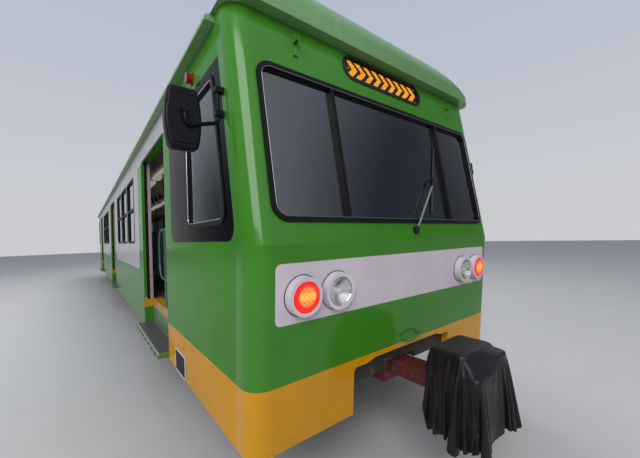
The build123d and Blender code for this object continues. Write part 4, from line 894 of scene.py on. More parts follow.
def front_x(z):
    """How far forward the raked front stands at a height."""
    return CREASE_X - (UPPER_RAKE if z > WAIST_Z else LOWER_RAKE) * abs(z - WAIST_Z)


def on_front(y, z):
    """A frame on the raked front."""
    rake = UPPER_RAKE if z > WAIST_Z else -LOWER_RAKE
    return place_of((front_x(z), y, z), (1, 0, rake))


surfaces = {}


def surface(node, origin, direction):
    """Where a ray meets a CAD piece, and the way the piece faces there."""
    if node not in surfaces:
        mesh = bpy.data.objects[node].data
        surfaces[node] = BVHTree.FromPolygons([v.co for v in mesh.vertices], [tuple(f.vertices) for f in mesh.polygons])
    hit, normal, _, _ = surfaces[node].ray_cast(Vector(origin), Vector(direction).normalized())
    if hit is None:
        return None
    if normal.dot(Vector(direction)) > 0:
        normal = -normal
    return hit, normal


# ---------------------------------------------------------------- shapes by Geometry Nodes
class Shape(Nodes):
    """A Geometry Nodes tree with named inputs, and short calls that fill it."""

    SOCKETS = {"geometry": "NodeSocketGeometry", "float": "NodeSocketFloat", "int": "NodeSocketInt",
               "material": "NodeSocketMaterial"}

    def __init__(self, name, inputs):
        super().__init__(bpy.data.node_groups.new(name, "GeometryNodeTree"))
        for label, kind, default in inputs:
            socket = self.tree.interface.new_socket(name=label, in_out="INPUT", socket_type=self.SOCKETS[kind])
            if default is not None:
                socket.default_value = default
        self.tree.interface.new_socket(name="Geometry", in_out="OUTPUT", socket_type="NodeSocketGeometry")
        self.given = self.tree.nodes.new("NodeGroupInput").outputs
        self.out = self.tree.nodes.new("NodeGroupOutput").inputs[0]

    def make(self, kind, values=None, **props):
        """The first output of a new node."""
        return self.node(kind, values, **props).outputs[0]

    def vector(self, x=0.0, y=0.0, z=0.0):
        return self.make("ShaderNodeCombineXYZ", {0: x, 1: y, 2: z})

    def join(self, *parts):
        made = self.node("GeometryNodeJoinGeometry")
        for part in parts:
            self.put(made.inputs[0], part)
        return made.outputs[0]

    def finish(self, geometry, material):
        """Realize the instances, give them their material and put them out."""
        real = self.make("GeometryNodeRealizeInstances", {"Geometry": geometry})
        self.put(self.out, self.make("GeometryNodeSetMaterial", {"Geometry": real, "Material": material}))
        return self.tree


def grown(name, tree, seed_mesh, values):
    """The plain mesh that a Geometry Nodes tree makes from a starting mesh."""
    holder = bpy.data.objects.new(name + "_seed", seed_mesh)
    bpy.context.collection.objects.link(holder)
    modifier = holder.modifiers.new("grow", "NODES")
    modifier.node_group = tree
    for item in tree.interface.items_tree:
        if item.item_type == "SOCKET" and item.in_out == "INPUT" and item.name in values:
            modifier[item.identifier] = values[item.name]
    bpy.context.view_layer.update()
    mesh = plain_mesh(holder)
    mesh.name = name
    return mesh


def point_mesh(name, spots):
    """Loose points, each with the way it faces, from (place, facing)."""
    mesh = bpy.data.meshes.new(name)
    mesh.from_pydata([tuple(place) for place, _ in spots], [], [])
    facing = mesh.attributes.new("facing", "FLOAT_VECTOR", "POINT")
    for k, (_, way) in enumerate(spots):
        facing.data[k].vector = tuple(way)
    return mesh


def turned_instances(s, points, instance, seed):
    """Instances on points, each turned to the way its point faces and spun by a random angle."""
    facing = s.node("GeometryNodeInputNamedAttribute", {"Name": "facing"}, data_type="FLOAT_VECTOR")
    aligned = s.make("FunctionNodeAlignRotationToVector", {"Vector": facing.outputs["Attribute"]}, axis="Z")
    spin = s.node("FunctionNodeRandomValue", {"Seed": seed, 3: math.tau}, data_type="FLOAT")
    spun = s.make("FunctionNodeAxisAngleToRotation", {"Axis": (0, 0, 1), "Angle": spin.outputs[1]})
    both = s.make("FunctionNodeRotateRotation", {"Rotation": aligned, "Rotate By": spun}, rotation_space="LOCAL")
    return s.make("GeometryNodeInstanceOnPoints", {"Points": points, "Instance": instance, "Rotation": both})


def bolt_heads_tree():
    """A hexagon head on a round washer at every point."""
    s = Shape("bolt_heads", [("Points", "geometry", None), ("Head Width", "float", 0.024),
                             ("Head Height", "float", 0.012), ("Seed", "int", 0), ("Finish", "material", None)])
    width, height = s.given["Head Width"], s.given["Head Height"]
    head = s.make("GeometryNodeMeshCylinder", {"Vertices": 6, "Radius": s.times(width, 0.5), "Depth": height})
    raised = s.make("GeometryNodeTransform", {"Geometry": head, "Translation": s.vector(z=s.times(height, 0.55))})
    washer = s.make("GeometryNodeMeshCylinder",
                    {"Vertices": 12, "Radius": s.times(width, 0.78), "Depth": s.times(height, 0.4)})
    placed = turned_instances(s, s.given["Points"], s.join(raised, washer), s.given["Seed"])
    return s.finish(placed, s.given["Finish"])


def diode_tree():
    """The display's lit diodes: low domes on a grid, in a row of plain chevrons."""
    s = Shape("diodes", [("Width", "float", 0.8), ("Height", "float", 0.12), ("Columns", "int", 96),
                         ("Rows", "int", 14), ("Diode Radius", "float", 0.0028), ("Chevron Pitch", "float", 0.09),
                         ("Lit Share", "float", 0.55), ("Finish", "material", None)])
    grid = s.make("GeometryNodeMeshGrid", {"Size X": s.given["Width"], "Size Y": s.given["Height"],
                                           "Vertices X": s.given["Columns"], "Vertices Y": s.given["Rows"]})
    dome = s.make("GeometryNodeMeshCone", {"Vertices": 6, "Radius Bottom": s.given["Diode Radius"],
                                           "Radius Top": 0.0014, "Depth": 0.0022})
    across, rise, _ = s.split(s.make("GeometryNodeInputPosition"))
    share = s.math("DIVIDE", s.plus(across, s.off(rise)), s.given["Chevron Pitch"])
    lit = s.math("LESS_THAN", s.math("FRACT", share), s.given["Lit Share"])
    placed = s.make("GeometryNodeInstanceOnPoints", {"Points": grid, "Instance": dome, "Selection": lit})
    return s.finish(placed, s.given["Finish"])


def grips_tree():
    """A strap plate and a ring grip below every point of the ceiling rails."""
    s = Shape("hand_grips", [("Points", "geometry", None), ("Ring Radius", "float", 0.055),
                             ("Strap Length", "float", 0.12), ("Finish", "material", None)])
    length = s.given["Strap Length"]
    ring_line = s.make("GeometryNodeCurvePrimitiveCircle", {"Resolution": 20, "Radius": s.given["Ring Radius"]})
    profile = s.make("GeometryNodeCurvePrimitiveCircle", {"Resolution": 8, "Radius": 0.008})
    ring = s.make("GeometryNodeCurveToMesh", {"Curve": ring_line, "Profile Curve": profile})
    upright = s.make("GeometryNodeTransform", {"Geometry": ring, "Translation": s.vector(z=s.times(length, -1.4)),
                                               "Rotation": (0.0, math.pi / 2, 0.0)})
    strap = s.make("GeometryNodeMeshCube", {"Size": s.vector(0.006, 0.028, length)})
    lowered = s.make("GeometryNodeTransform", {"Geometry": strap, "Translation": s.vector(z=s.times(length, -0.5))})
    placed = s.make("GeometryNodeInstanceOnPoints", {"Points": s.given["Points"], "Instance": s.join(upright, lowered)})
    return s.finish(placed, s.given["Finish"])


bolt_heads = bolt_heads_tree()


def ring_of(centre, axis, radius, count, start_angle=0.0):
    """Places evenly round a circle about an axis."""
    place = place_of(centre, axis, (1, 0, 0) if abs(Vector(axis).normalized().z) > 0.9 else (0, 0, 1))
    return [place @ Vector((radius * math.cos(start_angle + math.tau * k / count),
                            radius * math.sin(start_angle + math.tau * k / count), 0)) for k in range(count)]


def row_of(first, last, count):
    """Places evenly along a line."""
    first, last = Vector(first), Vector(last)
    return [first.lerp(last, k / (count - 1)) for k in range(count)]


def seated(node, places, direction):
    """Each place dropped along a direction on to a CAD piece, where it meets one squarely."""
    spots = []
    way = Vector(direction).normalized()
    for place in places:
        found = surface(node, place, way)
        if found and found[1].dot(way) < -0.9:
            spots.append(found)
    return spots


def bolt_piece(name, body, slot, spots, head_width, seed):
    mesh = grown(name, bolt_heads, point_mesh(name, spots),
                 {"Head Width": head_width, "Head Height": head_width * 0.5, "Seed": seed, "Finish": bolt_steel})
    piece(name, mesh, body, slot)


# bolts on the bogies: round each axlebox cover and along the side frames
BESIDE_BOGIE_Y, FRAME_REACH = 1.3, 1.25
for name, centre in (("front", BOGIE_X), ("rear", -BOGIE_X)):
    boxes, frames = f"bogie_boxes_{name}", f"bogie_frame_{name}"
    spots = []
    for side in (-1, 1):
        for step in (-AXLE_STEP, AXLE_STEP):
            hub = (centre + step, side * BESIDE_BOGIE_Y, AXLE_Z)
            spots += seated(boxes, ring_of(hub, (0, side, 0), 0.072, 6, math.pi / 6), (0, -side, 0))
        for height in (0.50, 0.585):
            first, last = [(centre + reach, side * BESIDE_BOGIE_Y, height) for reach in (-FRAME_REACH, FRAME_REACH)]
            spots += seated(frames, row_of(first, last, 15), (0, -side, 0))
    bolt_piece(f"bogie_bolts_{name}", f"bogie_{name}", "bogie_steel", spots, 0.026, 3)

# bolts on the car: equipment covers, step brackets, vents and the rear drawbar's flange
BESIDE_CAR_Y, BESIDE_STEP_Y, CASES_REACH, STEP_REACH = 1.4, 1.5, 2.95, 0.6
spots = []
for side in (-1, 1):
    for height in (0.36, 0.63):
        first, last = [(x, side * BESIDE_CAR_Y, height) for x in (-CASES_REACH, CASES_REACH)]
        spots += seated("equipment_boxes", row_of(first, last, 40), (0, -side, 0))
    for doorway in (-DOOR_PITCH, 0.0, DOOR_PITCH):
        first, last = [(doorway + reach, side * BESIDE_STEP_Y, 0.556) for reach in (-STEP_REACH, STEP_REACH)]
        spots += seated("door_steps", row_of(first, last, 7), (0, -side, 0))
    vent = [Vector((x, side * BESIDE_CAR_Y, z)) for z in (0.55, 0.69) for x in (7.07, 7.34)]
    spots += seated("skirt_vents", vent, (0, -side, 0))
spots += seated("rear_coupler", ring_of((-9.1, 0, 0.668), (1, 0, 0), 0.115, 8), (-1, 0, 0))
bolt_piece("car_bolts", "car", "equipment_steel", spots, 0.018, 5)

# bolts on the roof: along the ventilators and on the collector's feet
spots = []
for x0, x1 in ((-4.30, -3.30), (6.60, 7.64)):
    for y in (-0.19, 0.19):
        spots += seated("roof_ventilators", row_of((x0, y, 3.8), (x1, y, 3.8), 8), (0, 0, -1))
for x in (-6.55, -6.40, -5.60, -5.45):
    for y in (-0.36, 0.36):
        spots += seated("pantograph_base", [Vector((x, y, 4.2))], (0, 0, -1))
bolt_piece("roof_bolts", "car", "roof_paint", spots, 0.022, 7)

# ---------------------------------------------------------------- destination display: amber diodes
diodes = grown("display_diodes", diode_tree(), bpy.data.meshes.new("display_seed"),
               {"Width": 0.80, "Height": 0.116, "Columns": 100, "Rows": 15, "Diode Radius": 0.0034, "Lit Share": 0.56,
                "Finish": display_amber})
face = surface("destination_display", (9.2, 0.0, DISPLAY_Z), (-1, 0, 0))
diodes.transform(place_of(face[0], face[1]) @ Matrix.Translation((0, 0, 0.0006)))
piece("display_diodes", diodes, "car", "display_case")

# ---------------------------------------------------------------- headlamps: faceted bowl, bulb and ribbed glass
# each profile is (radius, how far in front of the raked front), in metres
LENS_RADIUS = 0.088
BULB = [(0, 0.013), (0.011, 0.0135), (0.011, 0.020), (0.007, 0.022), (0.0075, 0.031), (0.005, 0.0355), (0, 0.037)]
LAMP_GLASS = [(0, 0.0505), (0.030, 0.0500), (0.060, 0.0480), (0.080, 0.0455), (LENS_RADIUS - 0.001, 0.0440),
              (LENS_RADIUS, 0.0470), (0.082, 0.0500), (0.062, 0.0530), (0.032, 0.0550), (0, 0.0556)]
LAMP_SHADOW_SEAL = [(0.1140, -0.001), (0.1185, -0.001), (0.1185, 0.002), (0.1172, 0.0034), (0.1140, 0.0034)]
BOWL_IN = [(0.012 + (LENS_RADIUS - 0.014) * k / 9, 0.0135 + 0.030 * (k / 9) ** 2) for k in range(10)]
BOWL = BOWL_IN + [(radius + 0.0015, w - 0.0015) for radius, w in reversed(BOWL_IN)]


def turned_on_front(name, profile, segments, lamps_y, closed=False, smooth=False):
    """One mesh of a turned shape on the front at both sides, at each distance from the middle."""
    def build(work):
        for side in (-1, 1):
            for lamp_y in lamps_y:
                add_lathe(work, profile, on_front(side * lamp_y, LAMP_Z), segments, closed)
    return mesh_from(name, build, smooth)


# a black rubber seal ring round each lamp bezel's base, dark also as a painted shadow round the bezel
seals = turned_on_front("lamp_seals", LAMP_SHADOW_SEAL, 48, (HEAD_Y, TAIL_Y), closed=True)
piece("lamp_seals", seals, "car", "black_plastic", rubber)
bowls = turned_on_front("headlamp_bowls", BOWL, 20, (HEAD_Y,), closed=True)
piece("headlamp_bowls", bowls, "car", "headlamp_glass", reflector)
bulbs = turned_on_front("headlamp_bulbs", BULB, 16, (HEAD_Y,), smooth=True)
piece("headlamp_bulbs", bulbs, "car", "headlamp_glass", lamp_diffuser)
glasses = turned_on_front("headlamp_glasses", LAMP_GLASS, 40, (HEAD_Y,), smooth=True)
headlamp_glasses = piece("headlamp_glasses", glasses, "car", "headlamp_glass", lens_glass)
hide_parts("headlamp_lenses")

# ---------------------------------------------------------------- mirrors' glasses, window trims, door edges
MIRROR_AT, MIRROR_HALF_WIDTH, MIRROR_HALF_HEIGHT = (8.3335, 1.520, 2.325), 0.076, 0.142
MIRROR_RINGS = ((1.0, -0.001), (1.0, 0.0012), (0.97, 0.0022), (0.7, 0.0042), (0.4, 0.0054), (0.1, 0.006))


def add_mirror_glasses(work):
    """Slightly domed glasses that follow the barrel shape of the heads' rear sides."""
    def blunt(value, half):
        return half * math.copysign(abs(value) ** 0.42, value)

    outline = []
    for k in range(48):
        angle = math.tau * k / 48
        v = blunt(math.sin(angle), MIRROR_HALF_HEIGHT)
        u = blunt(math.cos(angle), MIRROR_HALF_WIDTH) * (1 - 0.16 * (v / MIRROR_HALF_HEIGHT) ** 2)
        outline.append((u, v))
    for side in (-1, 1):
        place = place_of((MIRROR_AT[0], side * MIRROR_AT[1], MIRROR_AT[2]), (-1, 0, 0))
        rings = [[work.verts.new(place @ Vector((u * scale, v * scale, rise))) for u, v in outline]
                 for scale, rise in MIRROR_RINGS]
        bridge(work, rings)
        work.faces.new(rings[0])
        work.faces.new(rings[-1])


piece("mirror_glasses", mesh_from("mirror_glasses", add_mirror_glasses, True), "car", "black_plastic", mirror_glass)


def tube_mesh(name, paths, radius):
    """Round tubes along closed or open paths, one mesh."""
    curve = bpy.data.curves.new(name, "CURVE")
    set_all(curve, dimensions="3D", bevel_depth=radius, bevel_resolution=3, use_fill_caps=True)
    for points, closed in paths:
        spline = curve.splines.new("POLY")
        spline.points.add(len(points) - 1)
        for point, place in zip(spline.points, points):
            point.co = (*place, 1.0)
        spline.use_cyclic_u = closed
    holder = bpy.data.objects.new(name, curve)
    bpy.context.collection.objects.link(holder)
    bpy.context.view_layer.update()
    return shaded(plain_mesh(holder))


def cab_window_line(side, inset, y):
    """The cab side window's rounded, leaning outline, set in by inset."""
    low, high = 1.793 + inset, 2.698 - inset
    rear = 7.565 + inset
    corners = [(rear, low), (front_x(low) - 0.308 - inset, low), (front_x(high) - 0.308 - inset, high), (rear, high)]
    radius = 0.07 - inset
    points = []
    for k, corner in enumerate(corners):
        here = Vector(corner)
        before = (Vector(corners[k - 1]) - here).normalized()
        after = (Vector(corners[(k + 1) % 4]) - here).normalized()
        for step in range(8):
            blend = step / 7
            a, b = here + before * radius, here + after * radius
            spot = a * (1 - blend) ** 2 + here * 2 * blend * (1 - blend) + b * blend ** 2
            points.append((spot.x, side * y, spot.y))
    return points


window_trims = tube_mesh("window_trims", [(cab_window_line(side, 0.016, 1.3040), True) for side in (-1, 1)], 0.0038)
piece("window_trims", window_trims, "car", "wiper_steel", bright_trim)

# the bead along the lip of the windscreen's gasket
screen_place = on_front(0.0, SCREEN_Z)
bead_line = [screen_place @ Vector((u, v, GASKET_PROUD)) for u, v in rounded_outline(SIGHT[0], SIGHT[1], 0.068, 8)]
piece("screen_beads", tube_mesh("screen_beads", [(bead_line, True)], 0.0028), "car", "wiper_steel", screen_bead)

for node in DOORS:
    low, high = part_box(node)
    at_rear = node.endswith("_front")
    edge, inward = (low.x, 1) if at_rear else (high.x, -1)

    def add_edge(work):
        """A rubber strip with a rounded nose along the leaf's closing edge."""
        half = HALF_LEAF + 0.0015
        outline = [(-0.0012, -0.6 * half), (-0.0012, 0.6 * half), (0.004, half), (0.022, half), (0.022, -half),
                   (0.004, -half)]
        place = Matrix.Translation((edge, (low.y + high.y) / 2, low.z + 0.002))
        add_prism(work, [(u * inward, v) for u, v in outline], place, DOOR_TOP - low.z - 0.006)

    piece("edge_" + node, mesh_from("edge_" + node, add_edge), node, "black_rubber", rubber)

# ---------------------------------------------------------------- vent frames, saloon ceiling and rails
CEILING_LAMPS = [-7.6 + 1.7 * k for k in range(9)]
RAIL_POSTS = [-8.3 + 1.86 * k for k in range(9)]
GRIPS = [-7.9 + 0.47 * k for k in range(31)]
CEILING_LAMP_Y, RAIL_Y, RAIL_Z, BELOW_ROOF_Z = 0.55, 0.56, 2.78, 2.9


def add_vent_frames(work):
    """Thin raised frames round the louvres in the skirt."""
    outer, inner = rounded_outline(0.164, 0.099, 0.008), rounded_outline(0.150, 0.085, 0.004)
    for side in (-1, 1):
        place = place_of((7.205, side * 1.3045, 0.620), (0, side, 0))
        rings = [[work.verts.new(place @ Vector((u, v, w))) for u, v in line]
                 for line, w in ((outer, -0.003), (outer, 0.003), (inner, 0.003), (inner, -0.003))]
        bridge(work, rings + rings[:1])


def add_ceiling_lamps(work):
    """Rounded troughs in two rows under the roof."""
    for side in (-1, 1):
        for x in CEILING_LAMPS:
            roof, _ = surface("roof", (x, side * CEILING_LAMP_Y, BELOW_ROOF_Z), (0, 0, 1))
            place = place_of((x, side * CEILING_LAMP_Y, roof.z - 0.045), (0, 0, 1), (1, 0, 0))
            outline = rounded_outline(0.07, 0.60, 0.03, 4)
            add_prism(work, outline, place @ Matrix.Rotation(math.pi, 4, "X"), 0.03, 0.012)
            add_prism(work, rounded_outline(0.085, 0.615, 0.02, 4), place, 0.05)


piece("vent_frames", mesh_from("vent_frames", add_vent_frames), "car", "black_plastic", lamp_enamel)
piece("ceiling_lamps", mesh_from("ceiling_lamps", add_ceiling_lamps), "car", "lamp_white", lamp_diffuser)

rail_paths = []
grip_spots = []
for side in (-1, 1):
    y = side * RAIL_Y
    rail_paths.append(([(-8.4, y, RAIL_Z), (6.75, y, RAIL_Z)], False))
    for x in RAIL_POSTS:
        roof, _ = surface("roof", (x, y, BELOW_ROOF_Z), (0, 0, 1))
        rail_paths.append(([(x, y, RAIL_Z), (x, y, roof.z + 0.004)], False))
    grip_spots += [(Vector((x, y, RAIL_Z)), Vector((0, 0, 1))) for x in GRIPS]
piece("ceiling_rails", tube_mesh("ceiling_rails", rail_paths, 0.016), "car", "grab_green", grab_enamel)
grips = grown("hand_grips", grips_tree(), point_mesh("hand_grips", grip_spots),
              {"Ring Radius": 0.055, "Strap Length": 0.12, "Finish": black_moulding})
piece("hand_grips", grips, "car", "black_plastic")


# ---------------------------------------------------------------- padded seats
CUSHION_CELL = 0.018
CUSHION_FRAMES = 20


def after_frames(obj, cloth, frames):
    """The plain mesh of a cloth once its simulation has run; the object is removed."""
    cloth.point_cache.frame_start = 1
    cloth.point_cache.frame_end = frames
    for number in range(1, frames + 1):
        bpy.context.scene.frame_set(number)
    mesh = plain_mesh(obj)
    bpy.context.scene.frame_set(1)
    return mesh


def blown_up(mesh, top, channels, rise):
    """The cover blown up a little, held at its base and its sewn channels, each point moved by rise at most."""
    start_at = [v.co.copy() for v in mesh.vertices]
    cushion = bpy.data.objects.new(mesh.name + "_sim", mesh)
    bpy.context.collection.objects.link(cushion)
    held = cushion.vertex_groups.new(name="held")
    for v in mesh.vertices:
        low = v.co.z < -top + 1e-4
        sewn = v.co.z > top - 1e-4 and any(abs(v.co.y - at) < CUSHION_CELL * 0.55 for at in channels)
        if low or sewn:
            held.add([v.index], 1.0, "REPLACE")
    cloth = cushion.modifiers.new("cloth", "CLOTH")
    set_all(cloth.settings, quality=6, mass=0.3, tension_stiffness=12.0, compression_stiffness=12.0,
            bending_stiffness=1.0, use_pressure=True, uniform_pressure_force=4.0, vertex_group_mass="held")
    cloth.settings.effector_weights.gravity = 0.0
    set_all(cloth.collision_settings, use_collision=False, use_self_collision=False)
    result = after_frames(cushion, cloth, CUSHION_FRAMES)
    for v, origin in zip(result.vertices, start_at):
        move = v.co - origin
        if move.length > rise:
            move *= rise / move.length
        v.co = origin + move
    return result


def stuffed(name, size, channels, rise):
    work = bmesh.new()
    bmesh.ops.create_cube(work, size=1.0)
    for axis, side in enumerate(size):
        count = max(3, round(side / CUSHION_CELL))
        for cut in range(1, count):
            normal, place = Vector((0, 0, 0)), Vector((0, 0, 0))
            normal[axis] = 1.0
            place[axis] = -0.5 + cut / count
            bmesh.ops.bisect_plane(work, geom=work.verts[:] + work.edges[:] + work.faces[:], plane_co=place,
                                   plane_no=normal)
    for vert in work.verts:
        vert.co = Vector(vert.co[i] * size[i] for i in range(3))
    mesh = mesh_of(name, work)
    mesh = blown_up(mesh, size[2] / 2, channels, rise)
    for axis in (0, 1):
        along = [v.co[axis] for v in mesh.vertices]
        share = size[axis] / (max(along) - min(along))
        for v in mesh.vertices:
            v.co[axis] *= share
    return mesh


def islands(node):
    """The (lowest, highest) corners of each separate solid of a CAD piece."""
    work = bmesh.new()
    work.from_mesh(bpy.data.objects[node].data)
    bmesh.ops.remove_doubles(work, verts=work.verts, dist=1e-5)
    work.verts.ensure_lookup_table()
    seen, found = set(), []
    for vert in work.verts:
        if vert.index in seen:
            continue
        stack, members = [vert], []
        seen.add(vert.index)
        while stack:
            here = stack.pop()
            members.append(here.co.copy())
            for link in here.link_edges:
                other = link.other_vert(here)
                if other.index not in seen:
                    seen.add(other.index)
                    stack.append(other)
        found.append((Vector(min(m[i] for m in members) for i in range(3)),
                      Vector(max(m[i] for m in members) for i in range(3))))
    work.free()
    return found


def copies(name, source, places):
    """One mesh of a source mesh set down at each place."""
    work = bmesh.new()
    for place in places:
        part = source.copy()
        part.transform(place)
        work.from_mesh(part)
        bpy.data.meshes.remove(part)
    return shaded(mesh_of(name, work))


SEAT_PAD = (0.345, 0.852, 0.066)
BACK_PAD = (0.520, 0.852, 0.056)
BENCH_CHANNELS = (0.0,)
SEAT_LOWER_THAN, SHELL_NEARER_THAN = 0.2, 0.08
seat_pad = stuffed("seat_pad", SEAT_PAD, BENCH_CHANNELS, 0.012)
back_pad = stuffed("back_pad", BACK_PAD, BENCH_CHANNELS, 0.010)
seat_places, back_places = [], []
for low, high in islands("seat_cushions"):
    middle = (low + high) / 2
    if high.z - low.z < SEAT_LOWER_THAN:
        seat_places.append(Matrix.Translation((middle.x, middle.y, low.z + SEAT_PAD[2] / 2)))
    else:
        facing_front = surface("seat_frames", (middle.x, middle.y, middle.z), (-1, 0, 0))
        near = facing_front is not None and abs(facing_front[0].x - middle.x) < SHELL_NEARER_THAN
        way = 1 if near else -1
        turn = Matrix.Rotation(math.pi / 2 * way, 4, "Y")
        base = middle.x - way * (high.x - low.x) / 2
        back_places.append(Matrix.Translation((base + way * BACK_PAD[2] / 2, middle.y, middle.z)) @ turn)
bench_seats = piece("bench_seats", copies("bench_seats", seat_pad, seat_places), "car", "seat_cloth", leathercloth)
bench_backs = piece("bench_backs", copies("bench_backs", back_pad, back_places), "car", "seat_cloth", leathercloth)
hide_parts("seat_cushions")

# the driver's seat: one pad on the seat and one on its back, which leans a little
DRIVER_SEAT = (0.40, 0.42, 0.05)
DRIVER_BACK = (0.46, 0.40, 0.045)
DRIVER_CHANNELS = (-0.12, 0.12)
DRIVER_RISE = 0.010
BACK_LEANS, BACK_HEIGHT = 0.02, 0.65
PAD_SINK = 0.002
shell_front = surface("cab_seat", (7.9, 0.0, 1.70), (-1, 0, 0))[0]
shell_top = surface("cab_seat", (7.55, 0.0, 1.60), (0, 0, -1))[0]
lean = math.atan2(BACK_LEANS, BACK_HEIGHT)
facing = Vector((math.cos(lean), 0.0, math.sin(lean)))
seat_at = Matrix.Translation((7.535, 0.0, shell_top.z + DRIVER_SEAT[2] / 2 - PAD_SINK))
back_at = (Matrix.Translation(Vector(shell_front) + facing * (DRIVER_BACK[2] / 2 - PAD_SINK))
           @ Matrix.Rotation(math.pi / 2 - lean, 4, "Y"))
driver_mesh = copies("driver_pads", stuffed("driver_seat", DRIVER_SEAT, DRIVER_CHANNELS, DRIVER_RISE), [seat_at])
driver_back = copies("driver_back", stuffed("driver_back", DRIVER_BACK, DRIVER_CHANNELS, DRIVER_RISE), [back_at])
both = bmesh.new()
both.from_mesh(driver_mesh)
both.from_mesh(driver_back)
both.to_mesh(driver_mesh)
both.free()
driver_pads = piece("driver_pads", shaded(driver_mesh), "car", "seat_cloth", leathercloth)

# ---------------------------------------------------------------- the cloth over the coupler
CLOTH_FLAT = (1.40, 0.90)
CORNER_CUT = 0.36
CLOTH_CELLS = (98, 62)
CLOTH_REAR_X, CLOTH_START_Z = 8.80, 0.955
TIE_HALF_WIDTH, TIE_REAR_X, TIE_FRONT_X = 0.15, 8.95, 9.11
DRAPE_FRAMES = 70
HEAD_BLOCKS = {"head_block": ((8.925, -0.182, 0.50), (9.145, 0.182, 0.944)),
               "nose_block": ((9.10, 0.03, 0.66), (9.235, 0.185, 0.915)),
               "jaw_block": ((8.95, -0.200, 0.50), (9.236, 0.192, 0.835)),
               "rear_block": ((8.60, -0.12, 0.55), (8.93, 0.12, 0.80))}


def collider(name, low, high):
    """A rounded block that the cloth falls on; it is removed afterwards."""
    def build(work):
        centre = [(a + b) / 2 for a, b in zip(low, high)]
        size = [b - a for a, b in zip(low, high)]
        place = Matrix.Translation((centre[0], centre[1], low[2]))
        add_prism(work, rounded_outline(size[0] / 2, size[1] / 2, 0.03, 3), place, size[2], 0.012)
    block = bpy.data.objects.new(name, mesh_from(name, build))
    bpy.context.collection.objects.link(block)
    block.modifiers.new("collision", "COLLISION")
    block.collision.thickness_outer = 0.006
    block.collision.cloth_friction = 12.0
    return block


def flat_sheet(name):
    """The cover cut flat, with its two front corners off, and very slightly uneven so that it folds."""
    columns, rows = CLOTH_CELLS
    width, length = CLOTH_FLAT
    verts, faces = [], []
    for i in range(rows + 1):
        for j in range(columns + 1):
            x = CLOTH_REAR_X + length * i / rows
            y = -width / 2 + width * j / columns
            lift = 0.004 * math.sin(23.0 * x + 1.3) * math.sin(17.0 * y + 0.4)
            verts.append((x, y, CLOTH_START_Z + lift * 0.3))
    for i in range(rows):
        for j in range(columns):
            from_front = length * (rows - i - 0.5) / rows
            from_side = min(width * (j + 0.5) / columns, width * (columns - j - 0.5) / columns)
            if from_front + from_side > CORNER_CUT:
                a = i * (columns + 1) + j
                faces.append((a, a + 1, a + columns + 2, a + columns + 1))
    mesh = bpy.data.meshes.new(name)
    mesh.from_pydata(verts, [], faces)
    work = bmesh.new()
    work.from_mesh(mesh)
    bmesh.ops.delete(work, geom=[v for v in work.verts if not v.link_faces], context="VERTS")
    work.to_mesh(mesh)
    work.free()
    return mesh


def draped_cover():
    """The sheet dropped over the coupler's head and tied on top."""
    mesh = flat_sheet("coupler_cloth_sim")
    sheet = bpy.data.objects.new("coupler_cloth_sim", mesh)
    bpy.context.collection.objects.link(sheet)
    blocks = [collider(name, low, high) for name, (low, high) in HEAD_BLOCKS.items()]
    tied = sheet.vertex_groups.new(name="tied")
    tied.add([v.index for v in mesh.vertices if abs(v.co.y) < TIE_HALF_WIDTH and TIE_REAR_X < v.co.x < TIE_FRONT_X],
             1.0, "REPLACE")
    cloth = sheet.modifiers.new("cloth", "CLOTH")
    set_all(cloth.settings, vertex_group_mass="tied", quality=7, mass=0.9, air_damping=1.0, tension_stiffness=25.0,
            compression_stiffness=25.0, shear_stiffness=8.0, bending_stiffness=0.9)
    set_all(cloth.collision_settings, collision_quality=3, distance_min=0.004, use_self_collision=True,
            self_distance_min=0.004)
    draped = after_frames(sheet, cloth, DRAPE_FRAMES)
    for block in blocks:
        bpy.data.objects.remove(block)
    return shaded(draped)


cover = piece("coupler_cloth", draped_cover(), "car", "cover_cloth", tarpaulin)
finer = cover.modifiers.new("finer", "SUBSURF")
finer.levels = finer.render_levels = 1
thicker = cover.modifiers.new("thicker", "SOLIDIFY")
thicker.thickness = 0.0016
thicker.offset = 0.0
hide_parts("coupler_cover")

# ---------------------------------------------------------------- floor, world and lamps
floor_mesh = bpy.data.meshes.new("stage_floor")
floor_mesh.from_pydata([(-60, -60, 0), (60, -60, 0), (60, 60, 0), (-60, 60, 0)], [], [(0, 1, 2, 3)])
stage_floor = bpy.data.objects.new("stage_floor", floor_mesh)
bpy.context.collection.objects.link(stage_floor)
ft = Finish("stage_floor")
ft.give("Base Color", ft.mix(ft.noise(ft.place, 0.8, 3.0, 0.5), (0.43, 0.43, 0.44), (0.47, 0.47, 0.48)))
ft.give("Roughness", 0.9)
# seen from below, the floor lets the camera through to the underframe
one_sided = ft.node("ShaderNodeMixShader", {0: ft.node("ShaderNodeNewGeometry").outputs["Backfacing"],
                                            1: ft.shader.outputs[0],
                                            2: ft.node("ShaderNodeBsdfTransparent").outputs[0]})
ft.put(ft.output.inputs[0], one_sided.outputs[0])
floor_mesh.materials.append(ft.material)

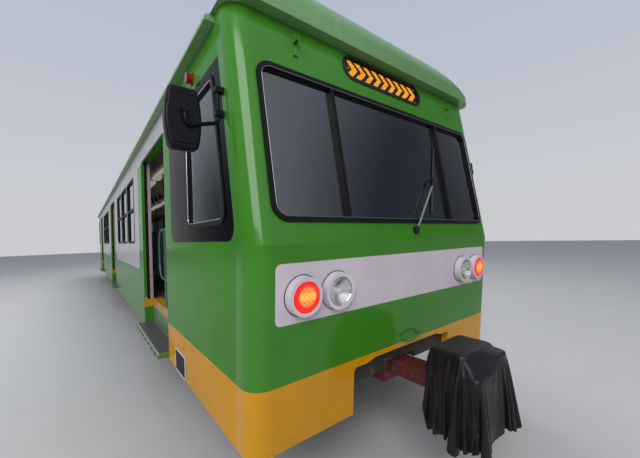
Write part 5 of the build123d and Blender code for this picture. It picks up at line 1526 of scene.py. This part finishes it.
# the camera sees a plain backdrop; gloss and glass also see a dark side and a bright side
LIGHT_STRENGTH, BACKDROP_STRENGTH = 0.62, 0.9
world = bpy.data.worlds.new("world")
bpy.context.scene.world = world
world.use_nodes = True
wt = Shades(world.node_tree)
world.node_tree.nodes.clear()
ahead, across, lift = wt.split(wt.node("ShaderNodeTexCoord").outputs["Generated"])
plain = wt.mix(wt.step(lift, -0.02, 0.75), (0.66, 0.67, 0.70), (0.50, 0.56, 0.68))
corner = wt.times(wt.step(across, 0.50, 0.78), wt.step(ahead, 0.0, 0.45))
flank = wt.times(wt.step(across, -0.16, -0.34), wt.step(lift, 0.5, 0.1))
backdrop = wt.mix(wt.times(wt.any_of(corner, flank), 0.95), plain, (0.07, 0.08, 0.10))
bright = wt.times(wt.step(across, 0.62, 0.35), wt.step(ahead, 0.4, 0.75))
backdrop = wt.mix(wt.times(bright, wt.step(lift, -0.05, 0.1)), backdrop, (0.92, 0.96, 1.0))
rays = wt.node("ShaderNodeLightPath").outputs
soft_light = wt.mix(wt.step(lift, -0.2, 0.6), (0.50, 0.50, 0.52), (0.74, 0.78, 0.84))
light = wt.node("ShaderNodeBackground", {"Color": soft_light, "Strength": LIGHT_STRENGTH})
backdrop = wt.mix(rays["Is Camera Ray"], backdrop, plain)
seen = wt.node("ShaderNodeBackground", {"Color": backdrop, "Strength": BACKDROP_STRENGTH})
shows = wt.any_of(rays["Is Glossy Ray"], rays["Is Transmission Ray"])
shows = wt.any_of(rays["Is Camera Ray"], shows)
blend = wt.node("ShaderNodeMixShader", {0: shows, 1: light.outputs[0], 2: seen.outputs[0]})
wt.node("ShaderNodeOutputWorld", {0: blend.outputs[0]})


def area_lamp(name, place, target, size, power, mirrored=True):
    """A large soft lamp that looks at a target; mirrored lamps show in gloss."""
    data = bpy.data.lights.new(name, "AREA")
    data.shape = "RECTANGLE"
    data.size, data.size_y = size
    data.energy = power
    lamp = bpy.data.objects.new(name, data)
    lamp.location = place
    direction = Vector(target) - Vector(place)
    lamp.rotation_euler = direction.to_track_quat("-Z", "Y").to_euler()
    lamp.visible_glossy = mirrored
    bpy.context.collection.objects.link(lamp)


area_lamp("key_lamp", (15.0, -7.0, 8.0), (6.0, 0.0, 1.5), (7.0, 7.0), 900.0)
area_lamp("side_lamp", (0.0, -14.0, 9.0), (0.0, 0.0, 1.5), (14.0, 7.0), 620.0, False)
area_lamp("top_lamp", (0.0, 2.0, 14.0), (0.0, 0.0, 1.5), (16.0, 8.0), 1500.0, False)

bpy.context.scene.view_settings.view_transform = "Standard"
